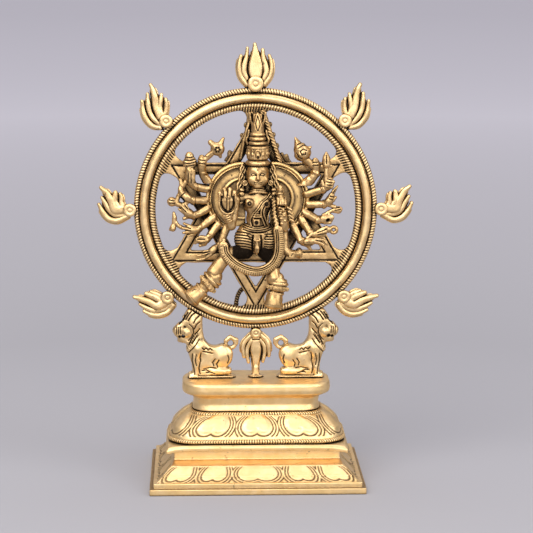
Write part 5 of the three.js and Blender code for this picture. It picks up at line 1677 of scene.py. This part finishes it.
# Each rear arm, drawn from its fan outwards. limbs are lines of x, z, radius and depth in front of
# the star; rings are x, z, the direction of the limb in degrees and the ring's radius; eggs are
# x, z, half width, half height and lean; lines are engraved.
ARMS = {
    "left_1": {
        "limbs": [
            [(-23.4, 162.6, 2.2, 4), (-26.4, 167, 2.1, 5), (-28.2, 169.8, 1.8, 6)],
            [(-28.6, 171, 1.7, 6.2), (-28.9, 174, 1.9, 7), (-28.6, 178, 2, 7)],
            [(-28, 177.6, 1.35, 7.4), (-23.6, 181.6, 1.35, 7.2)],
            [(-26, 180.4, 0.6, 8.6), (-23, 182.6, 0.5, 8.4)],
            [(-22.4, 186, 1.5, 7), (-24.1, 187.6, 1.25, 7)],
            [(-18.8, 186.4, 1.5, 7), (-17.2, 189.6, 0.7, 7)],
            [(-19.2, 181.4, 1.2, 7), (-18.8, 179.8, 0.7, 7)],
        ],
        "rings": [(-28.4, 170.6, 75, 2.1)],
        "eggs": [(-28.9, 177, 2.1, 3.8, -4), (-20.3, 184, 3.5, 3.5, 0)],
        "rosette": (-20.3, 183.8, 2.4),
        "lines": [[(-30.4, 176.4), (-27, 176)], [(-30.2, 178.2), (-27, 178)]],
    },
    "left_2": {
        "limbs": [
            [(-26, 162, 2.1, 4), (-29.6, 162.6, 1.9, 5), (-32, 163.4, 1.7, 6)],
            [(-33.4, 163.8, 1.7, 6.4), (-35, 167, 2.1, 7), (-35.4, 172.4, 2.2, 7)],
            [(-33.4, 166.6, 0.8, 8.2), (-33, 172.4, 0.7, 8.2)],
            [(-37.6, 166, 1.2, 6.6), (-39.6, 163.6, 1.2, 6.4), (-40.4, 166.6, 1.2, 6)],
        ],
        "rings": [(-32.7, 163.6, 15, 2.1)],
        "eggs": [(-35.3, 176.6, 3.7, 3.4, 12), (-35.4, 179.4, 2.4, 3, 8)],
        "lines": [
            [(-39.2, 176.6), (-35.6, 176.2), (-31.6, 177.4)],
            [(-38.8, 178.2), (-35.6, 177.8), (-32, 178.8)],
            [(-38, 179.8), (-35.4, 179.4), (-32.4, 180.2)], [(-37.4, 174.8), (-33, 175.4)],
            [(-36.4, 166), (-36.2, 171)], [(-34.6, 165.6), (-34.6, 170.6)],
        ],
    },
    "left_3": {
        "limbs": [
            [(-27, 155.6, 2, 4), (-30.6, 155.7, 1.8, 5), (-33.4, 155.8, 1.6, 6)],
            [(-34.8, 156, 1.6, 6.4), (-37.6, 158, 2.2, 7),
             (-40, 160.4, 1.6, 7), (-40.4, 163.4, 1, 6.6)],
            [(-36.6, 155.4, 1, 7), (-39.4, 153.2, 1.3, 7), (-42.6, 154.4, 1.4, 7)],
            [(-41.4, 158.8, 1, 7), (-42.6, 155.8, 1.1, 7)],
        ],
        "rings": [(-34, 155.9, 4, 2)],
        "eggs": [(-45.2, 155.3, 2.4, 2.5, 0)],
        "holes": [(-39.6, 156.6, 1.1, 1.7, 40)],
        "lines": [
            [(-46.6, 156.4), (-43.8, 156)], [(-46.8, 154.8), (-43.8, 154.6)],
            [(-38, 160.6), (-40.2, 158.6)],
        ],
    },
    "left_4": {
        "limbs": [
            [(-25.6, 151.2, 2, 4), (-29.4, 149.2, 1.8, 5), (-32.4, 147.8, 1.6, 6)],
            [(-33.6, 147.4, 1.6, 6.4), (-36, 148.8, 2.1, 7.2), (-38.6, 151.6, 1.6, 7.4)],
            [(-37.4, 150.8, 0.8, 8.2), (-40.4, 153.6, 0.6, 8)],
            [(-36.4, 151, 0.8, 8), (-38.4, 154.4, 0.6, 8)],
            [(-38, 149, 0.8, 7.8), (-41.4, 151.4, 0.6, 7.6)],
            [(-36, 147, 0.8, 7.6), (-38.6, 146.2, 0.8, 7.6)],
        ],
        "rings": [(-33, 147.5, 155, 2)],
        "lines": [[(-37.6, 150), (-40.4, 152.6)], [(-36.6, 151.6), (-39, 154.4)]],
    },
    "left_5": {
        "limbs": [
            [(-22.4, 146.4, 2, 4), (-26, 143.8, 1.9, 5), (-28.6, 141.8, 1.7, 6)],
            [(-30.4, 140.4, 1.6, 6.4), (-33.4, 139.8, 2.1, 7.2), (-36.6, 140.6, 1.7, 7.4)],
            [(-34, 141.4, 0.75, 8.4), (-38.6, 143.4, 0.6, 8)],
            [(-34, 140.2, 0.75, 8.8), (-39.6, 141, 0.6, 8.2)],
            [(-34, 138.8, 0.75, 8.6), (-39, 138.4, 0.6, 8)],
            [(-33, 137.6, 0.8, 8), (-36.6, 136.4, 0.7, 7.6)],
            [(-38.6, 140.8, 1.1, 7), (-41.6, 142, 0.9, 7), (-43.6, 144.6, 1, 7)],
            [(-44.2, 149.2, 0.6, 7), (-43.8, 146.4, 1.1, 7),
             (-44.2, 143, 1, 7), (-44.9, 140.6, 1.5, 7)],
            [(-40.4, 145.4, 1, 6.4), (-38.4, 146.6, 1.2, 6.4)],
        ],
        "rings": [(-29.6, 140.9, 145, 2.1)],
        "eggs": [(-45, 140.4, 1.9, 0.9, 20)],
        "lines": [[(-35, 140.8), (-39.4, 142.2)], [(-35, 139.5), (-39.6, 139.7)]],
    },
    "left_6": {
        "limbs": [
            [(-20, 142.4, 2, 4), (-22.6, 139.2, 1.9, 5), (-24.6, 136.4, 1.7, 6)],
            [(-25.6, 134.8, 1.5, 6.4), (-28, 133.6, 1.9, 7.2),
             (-31, 134, 1.4, 7.4), (-32.8, 132.6, 0.7, 7.4)],
            [(-26.6, 135.6, 0.8, 7.8), (-29.4, 136, 0.8, 8), (-32, 134.8, 0.6, 7.8)],
            [(-27, 132, 0.8, 7.6), (-30, 131.2, 0.7, 7.6)],
        ],
        "rings": [(-25, 135.9, 125, 2)],
        "lines": [[(-27.4, 134.8), (-31.6, 134.8)], [(-27.4, 132.9), (-31, 132.6)]],
    },
    "left_7": {
        "limbs": [
            [(-15.6, 140.4, 2, 4), (-17.4, 136, 1.9, 5), (-18.8, 132.2, 1.7, 6)],
            [(-20, 130.6, 1.6, 6.4), (-22.6, 128.8, 1.9, 7), (-25, 127, 1.5, 7)],
            [(-24, 127.6, 0.8, 8), (-28.6, 126, 0.6, 7.4), (-31.6, 125.4, 0.4, 7)],
            [(-24, 126.4, 0.8, 8), (-28, 123.8, 0.6, 7.4), (-32, 123.2, 0.4, 7)],
            [(-24.6, 128.4, 0.8, 7.6), (-28, 127.8, 0.5, 7.2)],
        ],
        "rings": [(-19.2, 131.5, 110, 2.1)],
        "lines": [[(-25, 126.9), (-30.6, 124.6)], [(-25, 127.9), (-29, 126.8)]],
    },
    "right_1": {
        "limbs": [
            [(24.4, 161, 2.6, 4), (29, 165.6, 2.4, 5), (32.4, 169.4, 2, 6)],
            [(33.2, 171.6, 1.8, 6.4), (32.8, 175.6, 2.1, 7)],
            [(31, 175, 1.5, 7.4), (27.4, 178.2, 1.9, 7.4)],
            [(25.6, 182, 4, 7), (23.6, 186, 1.9, 7), (21.8, 190, 0.4, 7)],
            [(28, 183.6, 1.8, 7), (30.2, 184.9, 0.5, 7)], [(28.6, 174.6, 0.9, 7), (30.2, 176, 0.9, 7)],
        ],
        "rings": [(32.8, 170.4, 60, 2.4), (27.9, 177.4, 130, 1.9)],
        "eggs": [(32.8, 175.2, 2.1, 3.7, 4)],
        "lines": [
            [(23.2, 184.4), (26, 186.2), (28.6, 186)], [(22.8, 186.4), (25.4, 187.6)],
            [(27.8, 183.4), (26, 184.2), (24.4, 182.8), (25.4, 181), (27.2, 181.2), (27.2, 182.4)],
            [(22.4, 182), (23.4, 179.8), (25.6, 178.8)], [(31.4, 176.6), (34.4, 176.9)],
            [(31.2, 174.8), (34.6, 175)],
        ],
    },
    "right_2": {
        "limbs": [
            [(28.4, 158.8, 2.2, 4), (33, 160.4, 1.9, 5), (36.4, 161.4, 1.7, 6)],
            [(37.6, 161.8, 1.6, 6.4), (39.4, 163.6, 2, 7), (40.6, 166.4, 1.7, 7.2)],
            [(38.8, 166.4, 1.15, 7.4), (38.7, 173.4, 1.1, 7.4)],
            [(38.7, 175.4, 1.9, 7.4), (38.7, 178.6, 1.75, 7.4), (38.7, 181.8, 0.5, 7.4)],
            [(36.2, 174.5, 0.75, 7.4), (41.2, 174.5, 0.75, 7.4)],
            [(37, 164, 0.8, 7.8), (36.4, 166.4, 0.7, 7.8)], [(41.6, 163, 0.8, 8), (42.6, 166, 0.7, 8)],
        ],
        "rings": [(37, 161.6, 18, 2.1)],
        "eggs": [(40.4, 165, 2.1, 3, 10)],
        "lines": [
            [(38.7, 176), (38.7, 180.4)], [(39.4, 167.6), (41.8, 167)], [(39, 166), (41.8, 165.4)],
            [(39, 164.4), (41.6, 163.8)],
        ],
    },
    "right_3": {
        "limbs": [
            [(29.4, 153.2, 2.1, 4), (33.4, 153.3, 1.8, 5), (36.8, 153.4, 1.6, 6)],
            [(38.2, 153.6, 1.6, 6.4), (40.4, 155.2, 2, 7), (41.8, 158.4, 1.4, 7.2)],
            [(42, 158, 0.8, 7.6), (43, 161, 0.9, 7.4), (45, 163.6, 0.35, 7.2)],
            [(40.6, 153, 1, 7), (43.4, 152, 1, 7)], [(42.6, 155.6, 0.8, 7.6), (44, 157.4, 0.6, 7.4)],
        ],
        "rings": [(37.5, 153.4, 0, 2)],
        "lines": [
            [(40.4, 156.8), (42.4, 156)], [(40.8, 158.2), (42.8, 157.6)],
            [(42.4, 159.6), (43.6, 161.6)],
        ],
    },
    "right_4": {
        "limbs": [
            [(27, 149, 2.1, 4), (30.6, 147, 1.9, 5), (33.6, 145.2, 1.7, 6)],
            [(35.2, 144.6, 1.6, 6.4), (38, 145.6, 2.1, 7), (40.8, 146.4, 1.5, 7.2)],
            [(37.4, 147.4, 1, 7), (41.4, 149.8, 0.9, 7), (44.2, 150.4, 1.5, 7)],
            [(38, 143.4, 0.8, 7.6), (41, 143.4, 0.7, 7.4)],
            [(40.4, 148, 0.7, 7.6), (42.2, 146.6, 0.7, 7.6), (41.6, 144.4, 0.6, 7.4)],
        ],
        "rings": [(34.4, 144.8, 160, 2.1)],
        "eggs": [(45.4, 150.4, 2.2, 2, 20)],
        "holes": [(39.6, 145.2, 1, 0.7, 30)],
        "lines": [[(43.4, 150.2), (46.8, 151)], [(43.6, 151.6), (46, 152)]],
    },
    "right_5": {
        "limbs": [
            [(25.4, 145, 2.1, 4), (27.4, 141.8, 1.9, 5), (29.6, 138.6, 1.7, 6)],
            [(31, 137, 1.3, 7), (34.4, 137.4, 1.7, 7.2), (37.6, 138.6, 1.7, 7.2)],
            [(33.6, 136.2, 0.8, 7.8), (38, 136.6, 0.7, 7.6)],
            [(34.6, 139, 0.8, 7.8), (39, 141, 0.8, 7.6)], [(28.4, 135, 0.7, 8), (31.4, 137.8, 0.7, 8)],
        ],
        "rings": [(30.2, 137.9, 125, 2)],
        "hoops": [(43, 139.4, 2.0, 0.95)],
        "eggs": [(40.4, 139.6, 1.6, 1.7, 0)],
        "lines": [[(34, 138.2), (38.6, 139.9)], [(34, 136.9), (38.4, 137.6)]],
    },
    "right_6": {
        "limbs": [
            [(20.6, 141.6, 2.1, 4), (22.8, 138, 1.9, 5), (24.4, 134.8, 1.7, 6)],
            [(26.2, 132.6, 1.6, 6.6), (29, 132.8, 2.2, 7.4),
             (32, 133.6, 1.5, 7.4), (35.6, 132.6, 1.2, 7.2)],
            [(33, 134.6, 0.8, 7.8), (37, 134, 0.7, 7.6), (39.4, 131.4, 0.6, 7.2)],
            [(33, 133.2, 0.8, 8.2), (36.6, 131.8, 0.7, 7.8), (38, 129.6, 0.5, 7.4)],
            [(29, 130.6, 0.9, 7.8), (30.4, 128.6, 0.7, 7.6)],
        ],
        "rings": [(25.2, 133.6, 125, 2)],
        "lines": [[(33, 134), (37.6, 132.6)], [(27, 131.6), (31, 131.4)]],
    },
    "right_7": {
        "limbs": [
            [(15.6, 141, 2.1, 5), (15.8, 134.4, 2.1, 6), (16.2, 128.6, 1.9, 7)],
            [(16.2, 128.4, 1.9, 7), (19.6, 126.4, 1.8, 7.4), (23.4, 126.4, 1.6, 7.4)],
        ],
        "rings": [(24.1, 126.4, 0, 2.6)],
        "squares": [(20.2, 126, 2.1, 32)],
    },
}


ARM_BULK = 1.22


def build_arm(word, parts):
    node = f"rear_arm_{word}"
    low, high = box_mm(node)
    clay = Clay(low - (3.4, 2.4, 3.4), high + (3.4, 1.0, 3.4), 0.24)
    front = -1.9

    def at(x, z, ahead):
        return (x + DRAWN, front - ahead, z)

    for line in parts["limbs"]:
        path = curve(line, 3) if len(line) > 2 else np.array(line, float)
        clay.chain([(*at(x, z, ahead), r * ARM_BULK) for x, z, r, ahead in path], 0.15)
    for x, z, half_x, half_z, lean in parts.get("eggs", []):
        radii = (half_x * 1.1, min(half_x, half_z, 2.6), half_z * 1.06)
        clay.add(egg(at(x, z, 7), radii, lean), 0.2)
    for x, z, lean, radius in parts["rings"]:
        turn = math.radians(lean)
        axis = (math.cos(turn), 0.25, math.sin(turn))
        clay.add(hoop(at(x, z, 6.2), axis, radius, 0.65), 0.1)
        for step in (-0.75, 0.75):
            spot = at(x + step * math.cos(turn), z + step * math.sin(turn), 6.2)
            clay.add(hoop(spot, axis, radius - 0.25, 0.5), 0.1)
    for x, z, radius, wire in parts.get("hoops", []):
        clay.add(hoop(at(x, z, 7), (0, 1, 0), radius - 0.4, wire), 0.2)
    for x, z, half, lean in parts.get("squares", []):
        turn = math.radians(lean)
        corners = turn + np.arange(4) * math.pi / 2
        outline = (x, z) + 1.25 * half * np.column_stack([np.cos(corners), np.sin(corners)])
        clay.add(plate(drawn(outline), front - 8.2, 1.5, 0.35), 0.15)
        mark = drawn([(x - 0.5, z - 0.6), (x + 0.4, z + 0.7)])
        clay.engrave([mark], 0.25, 0.2, 0.6, back=front - 8)
    for x, z, half_x, half_z, lean in parts.get("holes", []):
        clay.cut(egg(at(x, z, 8.2), (half_x, 2.2, half_z), lean), 0.2, 0.9)
    if "rosette" in parts:
        x, z, radius = parts["rosette"]
        clay.cut(hoop(at(x, z, 10.0), (0, 1, 0), radius + 0.25, 0.4), 0.1, 0.9)
        for k in range(6):
            turn = math.radians(60 * k)
            spot = at(x + 0.6 * radius * math.cos(turn), z + 0.6 * radius * math.sin(turn), 10.0)
            clay.cut(egg(spot, (0.5, 0.6, 0.5)), 0.1, 0.9)
        clay.add(egg(at(x, z, 9.8), (0.7, 0.6, 0.7)), 0.1)
    lines = [drawn(line) for line in parts.get("lines", [])]
    clay.engrave(lines, 0.24, 0.36, 0.95, back=front - 6)
    trim_back(clay, low - 6, high + 6)
    clay.roughen(0.08, 3, len(node))
    clay.skin(node, ANTIQUED, 0.03, 3.0)


# the rim of the emblem on the raised palm, from the palm's middle
BOWL = [(-4.2, 160.4), (-4.5, 154.8), (-2.6, 151), (0.2, 149.8), (3, 151), (4.6, 154.8), (4.2, 160.4)]


def build_front_left():
    """The arm with the raised open palm, an emblem on it."""
    node = "front_arm_left"
    low, high = box_mm(node)
    clay = Clay(low - (4, 2, 3), high + (3, 2, 2), 0.22)
    shoulder, elbow, wrist = (-10.6, -11.2, 156.4), (-12.9, -13.4, 142.4), (-15.6, -15.6, 149.6)
    arm = [(*shoulder, 2.7), (-11.6, -12.4, 149.6, 2.5), (*elbow, 2.2)]
    clay.chain(curve(drawn(arm), 4), 0.2)
    clay.chain([(*drawn(elbow), 2.3), (*drawn(wrist), 2)], 0.6)
    for k in range(4):
        share = 0.45 + 0.17 * k
        spot = drawn(np.array(elbow) * (1 - share) + np.array(wrist) * share)
        clay.add(hoop(spot, (-0.35, -0.3, 1), 1.9 + 0.12 * k, 0.5), 0.1)
    palm = drawn((-15.1, -16.2, 155.8))
    clay.add(egg(palm, (5.2, 1.6, 7), -6), 0.5)

    def on_palm(x, ahead, z, radius):
        return (palm[0] + x, palm[1] - ahead, z, radius)

    for x, top in ((-4.2, 161.4), (-1.6, 163.4), (1.2, 163.4), (3.8, 161.8)):
        clay.chain([on_palm(0.8 * x, 0.3, 157, 1.5), on_palm(x, 0, top - 0.6, 1.25)], 0.2)
    clay.chain([on_palm(3.4, 0, 153, 1.1), on_palm(4.9, 0.4, 157, 0.8)], 0.3)
    bowl = curve(BOWL, 5)
    clay.chain([on_palm(x, 1.6, z, 0.55) for x, z in bowl], 0.1)
    hollow = [(palm[0] + 0.72 * x, 155.4 + 0.72 * (z - 155.4)) for x, z in bowl]
    clay.engrave([hollow], 0.45, 0.6, 0.95, back=palm[1])
    clay.chain([on_palm(0.2, 1.8, 151.4, 0.8), on_palm(0.4, 1.9, 157.6, 0.65)], 0.1)
    clay.add(egg((palm[0] + 0.4, palm[1] - 1.9, 158.8), (1.15, 1.0, 1.15)), 0.1)
    for k in range(-2, 3):
        clay.chain([on_palm(0.9 * k, 0.6, 147.6, 0.5), on_palm(1.2 * k, 1, 149.8, 0.55)], 0.1)
    gaps = [[(palm[0] + 2.2 * k, 158.6), (palm[0] + 2.3 * k, 162.2)] for k in (-1, 0, 1)]
    clay.engrave(gaps, 0.22, 0.3, 0.9, back=palm[1] + 1)
    clay.roughen(0.07, 3, 71)
    clay.skin(node, ANTIQUED, 0.02, 3.0)


def build_front_right():
    """The arm whose fist holds a club, wound with bangles."""
    node = "front_arm_right"
    low, high = box_mm(node)
    clay = Clay(low - (4, 2, 3), high + (4, 2, 2), 0.22)
    shoulder, elbow, wrist = (13.2, -11.2, 156.4), (15.9, -13, 141.4), (15, -15.2, 149.4)
    arm = [(*shoulder, 2.7), (15.4, -12, 149, 2.6), (*elbow, 2.3)]
    clay.chain(curve(drawn(arm), 4), 0.2)
    clay.chain([(*drawn(elbow), 2.5), (*drawn(wrist), 2.1)], 0.6)
    fist = drawn((14.1, -16.4, 156.4))
    clay.add(egg(fist, (2.9, 2.4, 3)), 0.3)
    for k in range(4):
        x = fist[0] - 2 + 1.3 * k
        clay.chain([(x, fist[1] - 1.5, 158.2, 0.7), (x + 0.1, fist[1] - 2.0, 155, 0.75)], 0.12)
    clay.add(rod(drawn((13.6, -16.6, 158.6)), drawn((13.4, -16, 164)), 1.5, 1.1), 0.2)
    for z, radius in ((160.6, 2.1), (162.6, 1.8)):
        clay.add(hoop(drawn((13.5, -16.3, z)), (0, 0, 1), radius - 0.4, 0.5), 0.1)
    for k in range(7):
        z = 153 - 1.5 * k
        reach = 2.6 - 0.12 * k
        centre = drawn((14 + 0.22 * k, -15.6 + 0.25 * k, z))
        clay.add(hoop(centre, (0.2, -0.2, 1), reach - 0.5, 0.62), 0.1)
        clay.add(egg(centre + (1.0 if k % 2 else -1.0, 0.2 - reach, 0), (0.9, 0.8, 0.75)), 0.1)
    for k in range(4):
        spot = drawn((17.4 + 0.5 * k, -14.6, 152.6 - 2.2 * k))
        clay.chain([(*spot, 0.8), (*(spot + (2.0, 0.6, -1.4)), 0.7)], 0.1)
    clay.roughen(0.1, 2.6, 72)
    clay.skin(node, ANTIQUED, 0.02, 3.0)


add_camera()
add_studio()
build_plinth()
build_slab()
build_lotus()
build_beads("lower_beads", "lower_bead_rail", 15)
build_beads("upper_beads", "upper_bead_rail", 11)
build_seat()
build_band()
build_rope("outer_rope", "outer_rope_edge", ROPE_OUTER, BAND_OUTER - 0.2, 268)
build_rope("inner_rope", "inner_rope_edge", ROPE_INNER, BAND_INNER + 0.2, 232)
for word, kind in RAYS.items():
    build_rivet(word)
    build_flame(word, kind)
for word, side in SIDES:
    build_lion(word, side)
build_star()
build_arch()
build_strut()
build_head()
build_crown()
build_torso()
build_skirt()
build_sash()
for word, side in SIDES:
    build_leg(word, SHINS[word])
    build_fan(word, side)
for word, parts in ARMS.items():
    build_arm(word, parts)
build_front_left()
build_front_right()
